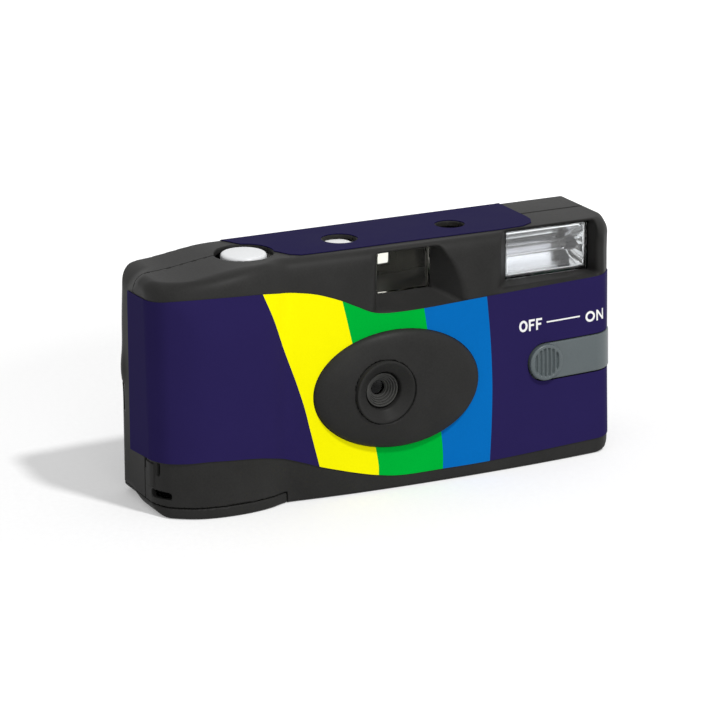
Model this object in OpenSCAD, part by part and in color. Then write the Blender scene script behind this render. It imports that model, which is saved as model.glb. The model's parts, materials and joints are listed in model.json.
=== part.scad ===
// Disposable film camera with a built-in flash.
// Millimetres. +X is to the viewer's right when facing the lens, -Y is the front, +Z is up.
// The origin is at the middle of the bottom of the bounding box.

/* [Body] */
// Width over the two ends
body_w = 118; // [117:0.5:122]
// Height of the top label above the base
body_h = 57; // [56.6:0.2:59]
// Depth from the front of the lens barrel to the back label
body_d = 31.4; // [31.2:0.1:33]
// Wall of the covers
wall = 1.4; // [1.2:0.1:1.5]
// Thickness of the printed labels
label_t = 0.2; // [0.1:0.05:0.3]
// Depth of the seam between the covers, behind the middle of the body
seam_y = 4.7; // [3.5:0.1:5.5]
// Backward lean of the flat front, degrees
face_lean = 3; // [2:0.1:3.4]
// Backward lean of the cassette bulge, degrees
bulge_lean = 1.6; // [1:0.1:2]
// Radius of the cassette bulge in plan
bulge_r = 23.5; // [22.5:0.5:25]
// Drop of the left shoulder below the top
shoulder_drop = 1; // [0.6:0.1:1.2]
// Radius of the rounded front edge of the top
crest_r = 6; // [5:0.2:6.4]
// Height of the film door's lip
door_h = 2.6; // [2.2:0.1:2.8]

/* [Lens] */
// Lens axis to the right of the middle of the body
lens_x = -4.8; // [-5.4:0.1:-4.2]
// Width of the oval lens surround
oval_w = 43.2; // [40:0.2:44]
// Height of the oval lens surround
oval_h = 28; // [26:0.2:29]
// Diameter of the lens barrel
barrel_d = 15; // [14:0.1:15.4]
// Opening at the bottom of the dished barrel front
mouth_d = 8.7; // [8.2:0.1:9.4]
// Depth of the dish in the barrel's front
dish_depth = 2.8; // [2:0.1:3]
// Diameter of the taking lens
lens_d = 7; // [6.6:0.1:7.4]
// Aperture stop
stop_d = 3.2; // [2.6:0.1:3.6]

/* [Viewfinder] */
// Width of the front window
finder_w = 13.8; // [12.6:0.1:14]
// Height of the front window
finder_h = 9.4; // [8.6:0.1:9.6]
// Middle of the finder to the right of the middle of the body
finder_x = 4.8; // [4.6:0.1:5.4]
// Width of the eyepiece
eye_w = 11.6; // [10:0.1:12]
// Height of the eyepiece
eye_h = 7.8; // [7:0.1:8.2]

/* [Flash] */
// Width of the flash window
flash_w = 22.6; // [21:0.1:23]
// Height of the flash window
flash_h = 11.8; // [11:0.1:12]
// Diameter of the flash tube
tube_d = 3; // [2.6:0.1:3.2]
// Length of the switch travel from off to on
switch_travel = 10; // [8:0.5:11]
// Height of the switch bar
switch_h = 9.2; // [8.6:0.1:9.6]
// Width of the ribbed switch knob
knob_w = 9.5; // [9:0.1:10]

/* [Controls] */
// Diameter of the shutter button
button_d = 11; // [10:0.1:11.4]
// Travel of the shutter button
button_travel = 1.2; // [0.8:0.1:1.3]
// Advance wheel smaller in radius than the cassette by
wheel_inset = 0.1; // [0:0.02:0.3]
// Diameter of the frame counter's window
counter_win_d = 8; // [7:0.1:8.4]
// Diameter of the flash-ready window
lamp_win_d = 6.6; // [6:0.1:7]

/* [Film and power] */
// Depth of the body beyond the film cassette
cassette_room = 6.4; // [6.2:0.1:6.6]
// Height above the film cassette for the advance wheel and the top
wind_room = 11.2; // [11:0.1:11.6]
// Film's edge in from the end of the cassette
film_inset = 3.8; // [3.7:0.05:3.9]
// Depth of the body beyond the wound film roll
roll_room = 13.8; // [13.6:0.1:15]
// Depth of the body beyond the battery cell
cell_room = 20.9; // [20.8:0.1:21.2]
// Height above the battery cell
cell_headroom = 8.5; // [8.3:0.1:9]

/* [Clearances] */
// Gap of moving pieces
gap_move = 0.3; // [0.25:0.05:0.4]
// Gap of seated pieces
gap_seat = 0.1; // [0.05:0.01:0.15]
// Radial play of shafts in their bores
play = 0.05; // [0.02:0.01:0.08]
// Glue under the labels
glue_t = 0.03; // [0.02:0.01:0.06]

/* [Hidden] */
$fn = 64;
tiny = 0.01;
far = 200;

// Outer limits of the covers
x_left = -body_w / 2;
x_right = body_w / 2;
y_front = -body_d / 2;
y_back = body_d / 2 - label_t - glue_t;
z_top = body_h - label_t - glue_t;
z_shoulder = z_top - shoulder_drop;
z_roof = z_top - wall;

// Plan of the front: a cassette bulge on the left and a shallow arc on the right
cassette_x = x_left + 17.5;
bulge_y = y_front + 0.95;
face_y = y_front + 1.75;
face_x = 18;
face_r = 385;
valley_x = cassette_x + 17.5;
face_left = cassette_x + 10.5;
bulge_cy = bulge_y + bulge_r;
face_cy = face_y + face_r;
corner_r = 6;
corner_x = x_right - corner_r;
corner_y = face_cy - sqrt(pow(face_r - corner_r, 2) - pow(corner_x - face_x, 2));
left_corner_r = 2.5;
left_corner_x = x_left + left_corner_r;
left_corner_y = bulge_cy - sqrt(pow(bulge_r - left_corner_r, 2) - pow(left_corner_x - cassette_x, 2));
corner_relief = 0.02;
back_r = 2.5;
edge_r = 3.2;
soft_r = 1.6;
shoulder_x0 = cassette_x + 0.5;
shoulder_x1 = shoulder_x0 + 8;
crest_back = 8.5;
pry_w = 5.4;
pry_h = 2;
latch_w = 1.8;
latch_h = 7;
latch_z = 20.4;

// Film and cassette
cassette_r = (body_d - cassette_room) / 2;
cassette_y = y_back - wall - gap_move - cassette_r;
cassette_z = door_h + 0.6;
cassette_h = body_h - wind_room - cassette_z;
lens_z = cassette_z + cassette_h / 2;
film_w = cassette_h - 2 * film_inset;
film_t = 0.15;
film_y = y_back - wall - 1.1;
roll_x = 26;
roll_d = body_d - roll_room;
roll_y = film_y - gap_move / 2 - roll_d / 2;
roll_room_r = roll_d / 2 + 0.7;
room_wall = 1;
gate_w = 36;
gate_h = film_w - 11;
rail_w = 1.6;
sprocket_r = 5.9;
sprocket_y = film_y - gap_move - sprocket_r;
button_y = sprocket_y - 3.67;
rail_x0 = -26;
rail_x1 = 16;
gate_y0 = film_y - 1.6;
gate_y1 = film_y - gap_seat * 2;

// Chassis levels
plate_t = 1.2;
deck_z = lens_z + film_w / 2 + 0.8;
deck_top = deck_z + plate_t;
upper_deck_z = cassette_z + cassette_h + 0.5;
upper_deck_top = upper_deck_z + plate_t;
keeper_z = deck_top + 5.8;
keeper_top = keeper_z + plate_t;
keeper_x0 = -27.6;
keeper_step = 4.4;
keeper_notch = 4;
keeper_post = 10.6;
keeper_x1 = -5.2;
keeper_y0 = y_front + 9.3;
keeper_y1 = button_y + 7.7;
floor_z = wall + 0.3;
floor_top = floor_z + plate_t;
shutter_y1 = y_front + 9.7;
shutter_y0 = shutter_y1 - plate_t;
riser_x = -28.5;
frame_gap = 0.2;
tunnel_half = 3.4;
deck_x1 = 30;
gate_x1 = 17;
gate_z0 = 5;
plate_x0 = -21;
plate_x1 = 11;
cap_z = 8.2;
cap_r = 6;
plate_z0 = cap_z + cap_r + 1.2;

// Lens barrel
barrel_back = shutter_y0 - 0.9;
lens_front = y_front + 4.5;
dish_rim = 0.4;
step_in = 0.6;
lens_t = 1.8;
retainer_t = 1;

// Oval surround, raised round the barrel
oval_x = -0.9;
oval_y = face_y + 1.9;
oval_rise = -oval_y + y_front + 0.3;

// Edges of the labels
label_back = 7.7;
label_top_left = body_h - 6.2;
label_top_right = body_h - 13.6;
label_low_left = 13.8;
label_low_right = 4.2;
step_x = cassette_x + 15.5;
step_w = 26;
step_z = body_h - 6.8;
step_drop = 8.6;
sweep_x = cassette_x + 3.5;
sweep_w = 40;
sweep_z = 13.4;
sweep_drop = 10.4;
flap_x0 = -32.6;
flap_x1 = 41;
flap_y0 = -4.2;
flap_y1 = -5.8;
panel_x0 = -26;
panel_z0 = 8;

// Viewfinder scoop
finder_z = z_top - 1.8 - finder_h / 2;
finder_y = y_front + 11;
ceiling_rise = 0.21;
lens_plate_t = 1.5;
scoop_wall = 1.2;
scoop_right = 19.5;
scoop_room = 3.9;
thumb_room = 3;
sill_z = body_h - 14.8;
eye_z = z_top - 3.3 - eye_h / 2;

// Flash head
flash_x = x_right - 16;
flash_z = z_top - 1 - flash_h / 2;
flash_y = y_front + 10.5;
flash_rise = 0.4;
flash_flare = 0.8;
window_t = 1.6;
reflector_y0 = flash_y + window_t + gap_seat;
reflector_y1 = reflector_y0 + 5.5;
front_reach = -y_front + 2.3;
trough_in = 1.2;
tube_y = reflector_y1 - 2.4;

// Electronics behind the front on the right
board_y = y_front + 9.1;
board_t = 1.2;
board_x0 = 14;
board_x1 = x_right - 4;
board_z0 = 4;
board_z1 = body_h - 14.8;
cell_x = x_right - 8;
cell_d = body_d - cell_room;
cell_y = y_back - wall - 1.02 - cell_d / 2;
cell_z = floor_top + 2;
cell_h = body_h - cell_headroom - cell_z;
cell_nub = 0.9;
cradle_t = 0.7;
cell_nub_r = 1.9;
leaf_t = 0.4;
leaf_w = 4.4;
leaf_front = 3;
leaf_back = cell_d / 2 - 0.65;
base_half = cell_d / 2 - 1.65;
coil_spring_r = cell_d / 2 - 2.25;
coil_spring_t = 0.6;
cap_y = y_front + 11.3;
cap_x0 = -11.5;
cap_x1 = 13;
lead_r = 0.4;
lead_l = 0.8;
lead_gap = 4;
coil_x = 41.5;
coil_z = 10;
coil_w = 7;
coil_h = 8;
coil_d = 8;
coil_core_r = 3.3;
coil_flange = 1.2;
trigger_r = 2.6;
trigger_z = 18;
trigger_h = 9;

// Switch slider
switch_x0 = x_right - 15 - switch_travel;
switch_z = lens_z + 0.1;
switch_out = 0.3;
switch_end = -3;
knob_x = switch_x0 + knob_w / 2;
switch_t = 1.1;
lip_x = 1;
lip_l = 6;
lip_depth = 1.1;
lip_over = 1.6;
neck_half = 0.3 * switch_h;
knob_rise = 1.1;
rib_rise = 1.4;
rib_pitch = 1.1;
rib_w = 0.5;
ribs_a_side = 3;
strip_t = 0.25;

// Levers on the lower deck
lever_z = deck_top + 0.4;
lever_t = 1.4;

// Controls
button_x = -32.2;
button_rise = 0.1;
button_top = body_h + button_rise;
button_chamfer = 0.5;
button_ring_d = button_d + 2.6;
flange_r = button_d / 2 + 0.7;
flange_top = z_shoulder - wall - gap_seat;
flange_t = 1;
stem_x = -25;
stem_r = 0.8;
arm_half = 1.2;
stem_end = lever_z + lever_t + gap_seat;
wheel_z = upper_deck_top + 0.5;
wheel_t = 3.4;
wheel_r = cassette_r - wheel_inset;
wheel_teeth = 40;
wheel_tooth = 0.6;
wheel_tooth_w = 1;
hub_r = 6;
fork_r = 2.4;
fork_span = 7.2;
fork_w = 1.2;
fork_l = 4;
thumb_half = 11;
thumb_under = 0.9;
thumb_over = 1.2;
slot_half = 9;
spool_r = 5.2;
spool_flange_r = 8.5;
spool_flange_t = 1;
spool_wall = 2;
shell_t = 0.3;
cap_disc_t = 0.4;
core_r = 4.6;
axle_r = 2;
mouth_in = 2;
scoop_y = y_back - 3.57;

// Wind train
sprocket_x = -23;
sprocket_z = lens_z + film_w / 2 - 3.6;
sprocket_t = 2.2;
shaft_r = 1.5;
dial_x = -13;
dial_y = button_y + 0.5;
dial_r = 8.3;
dial_teeth = 30;
dial_t = 1.2;
dial_end = 0.1;
dial_z = z_roof - dial_t - 0.3;
dial_pin_r = 1.2;
counter_x = -7.5;
lamp_x = 21.3;
lamp_y = button_y + 0.3;
lamp_r = 2.5;
lamp_h = 3.5;
lamp_z = z_roof - lamp_h - lamp_r;
cam_r = 3.1;
cam_z = deck_top + 0.6;
cam_t = 2;

// Release and shutter
striker_x = -12;
striker_y = shutter_y0 + 4.2;
pin_r = 1;
post_r = 1.2;
boss_r = 1.8;
meter_x = -21;
meter_y = button_y - 4.3;
blade_t = 0.3;
blade_y0 = shutter_y0 - 0.5;
blade_px = -13;
blade_pz = lens_z + 8.5;
blade_pin_r = 0.75;
blade_r = 3.2;
sync_x = 3;
sync_w = 2;
sync_h = 5.6;
sync_out = 1.2;
sync_z = blade_pz + 1;
pawl_at = -23.5;
pawl_reach = wheel_r + 2.57;
pawl_x = cassette_x + pawl_reach * cos(pawl_at);
pawl_y = cassette_y + pawl_reach * sin(pawl_at);
pawl_t = 2;
pawl_l = 5;
pawl_angle = 217;
lever_w = 1.2;
finger_l = sprocket_y - cam_r - meter_y - 0.07;
finger_angle = 96;
hit_l = 4.9;
hit_angle = -77;
cock_l = 9;
cock_angle = 138;
cock_w = 1.6;
wire_r = 0.15;
coil_r = 1.45;
lever_hub_r = 2;
pawl_leg = 2.6;
meter_leg = 3;
striker_leg = 3.2;
blade_leg = 2.4;

// Points along an arc in the plane, from angle a to angle b
function arc(x, y, r, a, b, n = 8) =
    [for (i = [0:n]) let (t = a + (b - a) * i / n) [x + r * cos(t), y + r * sin(t)]];

// A straight cylinder along Y from y0 to y1
module y_rod(x, z, r, y0, y1) {
    translate([x, y0, z])
        rotate([-90, 0, 0])
            cylinder(r = r, h = y1 - y0);
}

// A straight cylinder along X from x0 to x1
module x_rod(y, z, r, x0, x1) {
    translate([x0, y, z])
        rotate([0, 90, 0])
            cylinder(r = r, h = x1 - x0);
}

// A straight cylinder along Z from z0 to z1
module z_rod(x, y, r, z0, z1) {
    translate([x, y, z0])
        cylinder(r = r, h = z1 - z0);
}

// A box between two corners
module box(x0, x1, y0, y1, z0, z1) {
    translate([x0, y0, z0])
        cube([x1 - x0, y1 - y0, z1 - z0]);
}

// A tube along Z
module z_tube(x, y, r_out, r_in, z0, z1) {
    difference() {
        z_rod(x, y, r_out, z0, z1);
        z_rod(x, y, r_in, z0 - 1, z1 + 1);
    }
}

// A plan shape raised to full height and leaned back
module lean_prism(angle) {
    rotate([-angle, 0, 0])
        translate([0, 0, -10])
            linear_extrude(height = body_h + 30)
                children();
}

// A plan shape with one corner cut back to an arc about (x, y), between the angles a and b
module round_corner(x, y, r, a, b) {
    difference() {
        children();
        translate([x, y])
            polygon([[0, 0], for (t = [a, (a + b) / 2, b]) 20 * [cos(t), sin(t)]]);
    }
    translate([x, y])
        circle(r = max(r - corner_relief, 0.1));
}

// Plan of the cassette bulge, inset by i
module bulge_plan(i) {
    tangent = atan2(left_corner_y - bulge_cy, left_corner_x - cassette_x);
    round_corner(left_corner_x, left_corner_y, left_corner_r - i, -180, tangent)
        intersection() {
            translate([cassette_x, bulge_cy])
                circle(r = bulge_r - i, $fn = 240);
            translate([x_left + i, -far])
                square([valley_x - x_left - i, 2 * far]);
        }
}

// Plan of the shallow front on the right, inset by i
module face_plan(i) {
    tangent = atan2(corner_y - face_cy, corner_x - face_x);
    round_corner(corner_x, corner_y, corner_r - i, tangent, 0)
        intersection() {
            translate([face_x, face_cy])
                circle(r = face_r - i, $fn = 720);
            translate([face_left, -far])
                square([x_right - i - face_left, 2 * far]);
        }
}

// Front view of the body: the shoulder on the left and rounded top corners
module front_outline(i) {
    e = edge_r - i;
    shoulder = [for (k = [0:8]) let (u = k / 8)
        [shoulder_x0 + (shoulder_x1 - shoulder_x0) * u,
         z_shoulder - i + shoulder_drop * (3 * u * u - 2 * u * u * u)]];
    polygon(concat(
        [[x_right - i, i], [x_right - i, z_top - edge_r]],
        arc(x_right - edge_r, z_top - edge_r, e, 10, 90),
        [for (k = [0:8]) shoulder[8 - k]],
        arc(x_left + edge_r, z_shoulder - edge_r, e, 90, 180),
        [[x_left + i, i]]
    ));
}

// Side view of the body: the rounded crest in front and a soft back edge
module side_outline(i) {
    crest_y = y_front + crest_back;
    polygon(concat(
        [[-far, i], [-far, z_top - crest_r]],
        arc(crest_y, z_top - crest_r, crest_r - i, 180, 90, 10),
        arc(y_back - soft_r, z_top - soft_r, soft_r - min(i, soft_r - 0.1), 90, 0, 4),
        [[y_back - i, i]]
    ));
}

// Top view of the body: rounded back corners
module top_outline(i) {
    r = back_r - min(i, back_r - 0.3);
    polygon(concat(
        [[x_left + i, -far], [x_right - i, -far]],
        arc(x_right - i - r, y_back - i - r, r, 0, 90, 6),
        arc(x_left + i + r, y_back - i - r, r, 90, 180, 6)
    ));
}

// The whole body as one block, inset by i
module body_block(i) {
    intersection() {
        union() {
            lean_prism(bulge_lean)
                bulge_plan(i);
            lean_prism(face_lean)
                face_plan(i);
        }
        translate([0, far, 0])
            rotate([90, 0, 0])
                linear_extrude(height = 2 * far)
                    front_outline(i);
        translate([-far, 0, 0])
            rotate([90, 0, 90])
                linear_extrude(height = 2 * far)
                    side_outline(i);
        linear_extrude(height = 2 * far)
            top_outline(i);
    }
}

module body_shell() {
    difference() {
        body_block(0);
        body_block(wall);
    }
}

// Viewfinder scoop, flared to the front, right and bottom, grown by g
module finder_scoop(g) {
    x0 = finder_x - finder_w / 2 - g;
    x1 = finder_x + finder_w / 2 + g;
    z0 = finder_z - finder_h / 2 - g;
    z1 = finder_z + finder_h / 2 + g;
    y1 = finder_y + lens_plate_t - gap_seat;
    intersection() {
        translate([0, 0, z0 - 10])
            linear_extrude(height = z1 - z0 + 20)
                polygon([[x0, y1], [x1, y1], [x1, finder_y], [scoop_right + g, -front_reach],
                    [x0 - 1, -front_reach]]);
        translate([-far / 2, 0, 0])
            rotate([90, 0, 90])
                linear_extrude(height = far)
                    polygon([[y1, z1], [y1, z0], [finder_y, z0], [finder_y - 6.3, sill_z - g],
                        [-front_reach, sill_z - g],
                        [-front_reach, z1 + ceiling_rise * (finder_y + front_reach)],
                        [finder_y, z1]]);
    }
}

// Recess of the flash, flared to the top and left, grown by g
module flash_recess(g) {
    y1 = flash_y + window_t + gap_seat;
    z0 = flash_z - flash_h / 2 - g;
    z1 = flash_z + flash_h / 2 + g;
    x0 = flash_x - flash_w / 2 - g;
    x1 = flash_x + flash_w / 2 + g;
    intersection() {
        translate([0, 0, z0 - 10])
            linear_extrude(height = z1 - z0 + 20)
                polygon([[x0, y1], [x1, y1], [x1, -front_reach],
                    [x0 - flash_flare * (flash_y + front_reach), -front_reach], [x0, flash_y]]);
        translate([-far / 2, 0, 0])
            rotate([90, 0, 90])
                linear_extrude(height = far)
                    polygon([[y1, z0], [y1, z1], [flash_y, z1],
                        [-front_reach, z1 + flash_rise * (flash_y + front_reach)], [-front_reach, z0]]);
    }
}

// Front view of the ribbed knob, grown by g, back to y1
module knob_prism(g, y1) {
    translate([knob_x, y1, switch_z])
        rotate([90, 0, 0])
            linear_extrude(height = y1 + front_reach)
                scale([knob_w / 2 + g, switch_h / 2 + g])
                    circle(r = 1, $fn = 48);
}

// Slot of the switch, round at the left, round the right corner to the end
module switch_slot(y1) {
    knob_prism(gap_move, y1);
    box(knob_x, far, -front_reach, y1,
        switch_z - switch_h / 2 - gap_move, switch_z + switch_h / 2 + gap_move);
}

// Everything that opens through the top
module top_openings() {
    z_rod(button_x, button_y, button_d / 2 + gap_move, z_shoulder - 6, far);
    z_rod(button_x, button_y, button_ring_d / 2, z_shoulder - 0.6, far);
    z_rod(counter_x, dial_y, counter_win_d / 2, z_top - 4, far);
    z_rod(lamp_x, lamp_y, lamp_win_d / 2, z_top - 4, far);
}

// Room of the film door, grown by g
module door_room(g) {
    box(x_left - 1, riser_x + g, -far, far, -1, door_h + g);
}

// Recess at the back where the thumb reaches the advance wheel, grown by g
module wheel_recess(g) {
    box(cassette_x - thumb_half - g, cassette_x + thumb_half + g, scoop_y - g, far,
        wheel_z - thumb_under - g, wheel_z + wheel_t + thumb_over + g);
}

// Front view of the oval surround, grown by g
module oval_prism(g, y0, y1) {
    translate([oval_x, y1, lens_z - 0.3])
        rotate([90, 0, 0])
            linear_extrude(height = y1 - y0)
                scale([oval_w / 2 + g, oval_h / 2 + g])
                    circle(r = 1, $fn = 96);
}

module front_cover() {
    color("#2c2c2c")
        difference() {
            union() {
                intersection() {
                    body_shell();
                    box(-far, far, -far, seam_y - gap_seat / 2, -1, far);
                }
                intersection() {
                    body_block(0);
                    union() {
                        finder_scoop(scoop_wall);
                        flash_recess(scoop_wall);
                    }
                }
                // Domed oval round the lens barrel
                intersection() {
                    translate([oval_x, oval_y, lens_z - 0.3])
                        scale([oval_w / 2, -oval_rise, oval_h / 2])
                            sphere(r = 1, $fn = 96);
                    box(-far, far, -far, oval_y + wall, 0, far);
                }
            }
            finder_scoop(0);
            flash_recess(0);
            switch_slot(switch_end + 1);
            top_openings();
            door_room(gap_seat * 2);
            y_rod(lens_x, lens_z, barrel_d / 2 + gap_move, -far, -5);
            // Pry slot above the door at the front left corner
            translate([x_left + 1.6, left_corner_y - 2, door_h + 2.4])
                rotate([0, 0, -42])
                    box(-3, pry_w - 3, -1.6, 0.6, 0, pry_h);
        }
}

module rear_cover() {
    color("#2c2c2c")
        difference() {
            union() {
                intersection() {
                    body_shell();
                    box(-far, far, seam_y + gap_seat / 2, far, -1, far);
                }
                intersection() {
                    body_block(0);
                    wheel_recess(scoop_wall);
                }
                // Rails that hold the film in its plane
                for (side = [-1, 1])
                    translate([0, 0, lens_z + side * (film_w / 2 - 1.5)])
                        box(rail_x0, rail_x1, film_y + film_t + gap_seat, y_back - wall + tiny,
                            -rail_w / 2, rail_w / 2);
            }
            wheel_recess(0);
            // Slot that the wheel stands out of
            box(cassette_x - slot_half, cassette_x + slot_half, 5, far,
                wheel_z - gap_move, wheel_z + wheel_t + gap_move);
            top_openings();
            door_room(gap_seat * 2);
            // Eyepiece
            box(finder_x - eye_w / 2 - gap_seat, finder_x + eye_w / 2 + gap_seat, 10, far,
                eye_z - eye_h / 2 - gap_seat, eye_z + eye_h / 2 + gap_seat);
            // Latch slot in the left end
            box(x_left - 1, x_left + wall + 1, y_back - 2.6 - latch_w, y_back - 2.6,
                latch_z, latch_z + latch_h);
        }
}

module film_door() {
    color("#2a2a2a")
        intersection() {
            body_shell();
            box(-far, riser_x, -far, far, -1, door_h);
        }
}

// A skin of label thickness on the body
module label_skin() {
    difference() {
        body_block(-label_t - glue_t);
        body_block(-glue_t);
    }
}

// Front view of the front label between its curved top and bottom edges
module front_label_outline() {
    top = [for (k = [0:12]) let (u = k / 12)
        [step_x + step_w * u, step_z - step_drop * (3 * u * u - 2 * u * u * u)]];
    low = [for (k = [0:12]) let (u = k / 12)
        [sweep_x + sweep_w * u, sweep_z - sweep_drop * (3 * u * u - 2 * u * u * u)]];
    polygon(concat(
        [[x_left - 1, label_top_left]], top, [[x_right + 1, label_top_right], [x_right + 1, label_low_right]],
        [for (k = [0:12]) low[12 - k]], [[x_left - 1, label_low_left]]
    ));
}

module front_label() {
    color("#28214f")
        difference() {
            intersection() {
                label_skin();
                translate([0, label_back, 0])
                    rotate([90, 0, 0])
                        linear_extrude(height = label_back + front_reach)
                            front_label_outline();
            }
            oval_prism(gap_move, -front_reach, 0);
            switch_slot(label_back + 1);
            finder_scoop(0);
            flash_recess(0);
        }
}

module top_label() {
    color("#28214f")
        difference() {
            intersection() {
                label_skin();
                union() {
                    // Flap on the top, cut back round the button
                    translate([0, 0, z_top - 2])
                        linear_extrude(height = 10)
                            polygon(concat(
                                [[flap_x0, far], [flap_x0, 15], [-25, flap_y0], [30, flap_y1]],
                                arc(flap_x1 - 2.4, flap_y1 + 2.2, 2, -90, 0, 4),
                                [[flap_x1, 2], [flap_x1, far]]
                            ));
                    // Panel down the back
                    box(panel_x0, flap_x1, 12, far, panel_z0, far);
                }
            }
            z_rod(button_x, button_y, button_ring_d / 2 + gap_move, z_top - 4, far);
            z_rod(counter_x, dial_y, counter_win_d / 2 - 0.2, z_top - 4, far);
            z_rod(lamp_x, lamp_y, lamp_win_d / 2 - 0.2, z_top - 4, far);
            box(finder_x - eye_w / 2 - 0.8, finder_x + eye_w / 2 + 0.8, 10, far,
                eye_z - eye_h / 2 - 0.8, eye_z + eye_h / 2 + 0.8);
        }
}

// Light tunnel from the shutter to the film gate, grown by g
module light_tunnel(g) {
    a = tunnel_half + g;
    y0 = shutter_y0 - g;
    y1 = gate_y1 + g;
    intersection() {
        translate([lens_x, 0, 0])
            linear_extrude(height = far)
                polygon([[-a, y0], [a, y0], [gate_w / 2 + g, y1], [-gate_w / 2 - g, y1]]);
        translate([-far / 2, 0, lens_z])
            rotate([90, 0, 90])
                linear_extrude(height = far)
                    polygon([[y0, -a], [y1, -gate_h / 2 - g], [y1, gate_h / 2 + g], [y0, a]]);
    }
}

module main_frame() {
    color("#3a3a3c")
        difference() {
            intersection() {
                body_block(wall + frame_gap);
                union() {
                    // Cassette chamber: two part-round walls, open to front and back
                    intersection() {
                        z_tube(cassette_x, cassette_y, cassette_r + gap_move + room_wall,
                            cassette_r + gap_move, door_h + 0.6, upper_deck_z + tiny);
                        box(-far, far, cassette_y - cassette_r + 2.1, cassette_y + cassette_r - 2.3, 0, far);
                    }
                    // Upper deck over the cassette, riser and lower deck
                    box(-far, riser_x + plate_t, y_front + 5.7, y_back - 4.47, upper_deck_z, upper_deck_top);
                    box(riser_x, riser_x + plate_t, shutter_y0, 0.2, deck_z, upper_deck_top);
                    box(riser_x, deck_x1, shutter_y0, gate_y1, deck_z, deck_top);
                    // Film gate and shutter plate
                    box(riser_x, gate_x1, gate_y0, gate_y1, gate_z0, deck_top);
                    box(plate_x0, plate_x1, shutter_y0, shutter_y1, plate_z0, deck_top);
                    intersection() {
                        light_tunnel(1);
                        box(-far, far, shutter_y0, gate_y1, 0, far);
                    }
                    // Roll chamber, floor and battery cradle
                    intersection() {
                        z_tube(roll_x, roll_y, roll_room_r + room_wall, roll_room_r, floor_z, deck_top);
                        box(-far, far, -far, gate_y0 + 0.6, 0, far);
                    }
                    box(roll_x - roll_room_r, x_right, -5, gate_y1, floor_z, floor_top);
                    intersection() {
                        z_tube(cell_x, cell_y, cell_d / 2 + gap_seat + cradle_t, cell_d / 2 + gap_seat,
                            floor_z, cell_z + cell_h + cell_nub + 1.6);
                        box(-far, far, cell_y + 1, far, 0, far);
                    }
                    // Pins and posts of the wind and shutter levers
                    z_rod(striker_x, striker_y, pin_r, deck_z, keeper_z);
                    z_rod(meter_x, meter_y, pin_r, deck_z, keeper_z);
                    z_rod(pawl_x, pawl_y, pin_r, upper_deck_z, upper_deck_top + 3);
                    z_rod(pawl_x, pawl_y, boss_r, upper_deck_z, upper_deck_top);
                    z_rod(keeper_x1 - 2, keeper_y1 - 1.6, post_r, deck_z, keeper_z);
                    z_rod(keeper_x0 + keeper_post, keeper_y0 + 1.4, post_r, deck_z, keeper_z);
                    z_rod(lamp_x, lamp_y, lamp_r - 0.5, deck_z, lamp_z);
                    y_rod(blade_px, blade_pz, blade_pin_r, shutter_y0 - 1.8, shutter_y1);
                }
            }
            light_tunnel(0);
            // Hub of the advance wheel, sprocket shaft and sprocket
            z_rod(cassette_x, cassette_y, hub_r + gap_move, upper_deck_z - 1, far);
            z_rod(sprocket_x, sprocket_y, shaft_r + play, sprocket_z - 1, far);
            z_rod(sprocket_x, sprocket_y, sprocket_r + gap_move,
                sprocket_z - gap_move, sprocket_z + sprocket_t + gap_move);
            // Room under the viewfinder scoop, at the flash recess and for the wheel recess
            flash_recess(scoop_wall + frame_gap);
            box(finder_x - finder_w / 2 - scoop_room, scoop_right + scoop_room,
                -far, finder_y + lens_plate_t + 0.2, deck_z - scoop_room, far);
            box(-far, cassette_x + thumb_half + thumb_room, scoop_y - scoop_wall - thumb_room, far,
                wheel_z - thumb_room, far);
        }
}

module keeper_plate() {
    color("#4a4a4c")
        difference() {
            union() {
                box(keeper_x0, keeper_x1, keeper_y0 + keeper_step, keeper_y1, keeper_z, keeper_top);
                box(keeper_x0 + keeper_notch, keeper_x1, keeper_y0, keeper_y1, keeper_z, keeper_top);
                z_rod(dial_x, dial_y, dial_pin_r, keeper_z, dial_z + dial_t + dial_end);
                z_rod(dial_x, dial_y, dial_pin_r + 0.8, keeper_z, dial_z - 0.1);
            }
            z_rod(sprocket_x, sprocket_y, shaft_r + play, 0, far);
            z_rod(stem_x, button_y, stem_r + gap_move, 0, far);
        }
}

module lens_holder() {
    color("#1c1c1c")
        difference() {
            union() {
                y_rod(lens_x, lens_z, barrel_d / 2, y_front, barrel_back);
                for (side = [-1, 1])
                    y_rod(lens_x + side * 4.2, lens_z - 4.6, 1, barrel_back - 1, shutter_y0);
            }
            // Dish, stepped mouth, lens seat and retainer room
            translate([lens_x, y_front - tiny, lens_z])
                rotate([-90, 0, 0])
                    cylinder(r1 = barrel_d / 2 - dish_rim, r2 = mouth_d / 2, h = dish_depth);
            y_rod(lens_x, lens_z, mouth_d / 2, -far, y_front + dish_depth + 0.3);
            y_rod(lens_x, lens_z, mouth_d / 2 - step_in, -far, y_front + dish_depth + 0.8);
            y_rod(lens_x, lens_z, lens_d / 2 - 0.4, -far, lens_front + 0.5);
            y_rod(lens_x, lens_z, lens_d / 2 + gap_seat / 2, lens_front, 0);
        }
}

module taking_lens() {
    color("#cfe4f2", 0.5)
        intersection() {
            y_rod(lens_x, lens_z, lens_d / 2, lens_front, lens_front + lens_t);
            translate([lens_x, lens_front + 9, lens_z])
                sphere(r = 9);
        }
}

module lens_retainer() {
    color("#242424")
        difference() {
            y_rod(lens_x, lens_z, lens_d / 2, lens_front + lens_t, lens_front + lens_t + retainer_t);
            y_rod(lens_x, lens_z, stop_d / 2, -far, far);
        }
}

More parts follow.
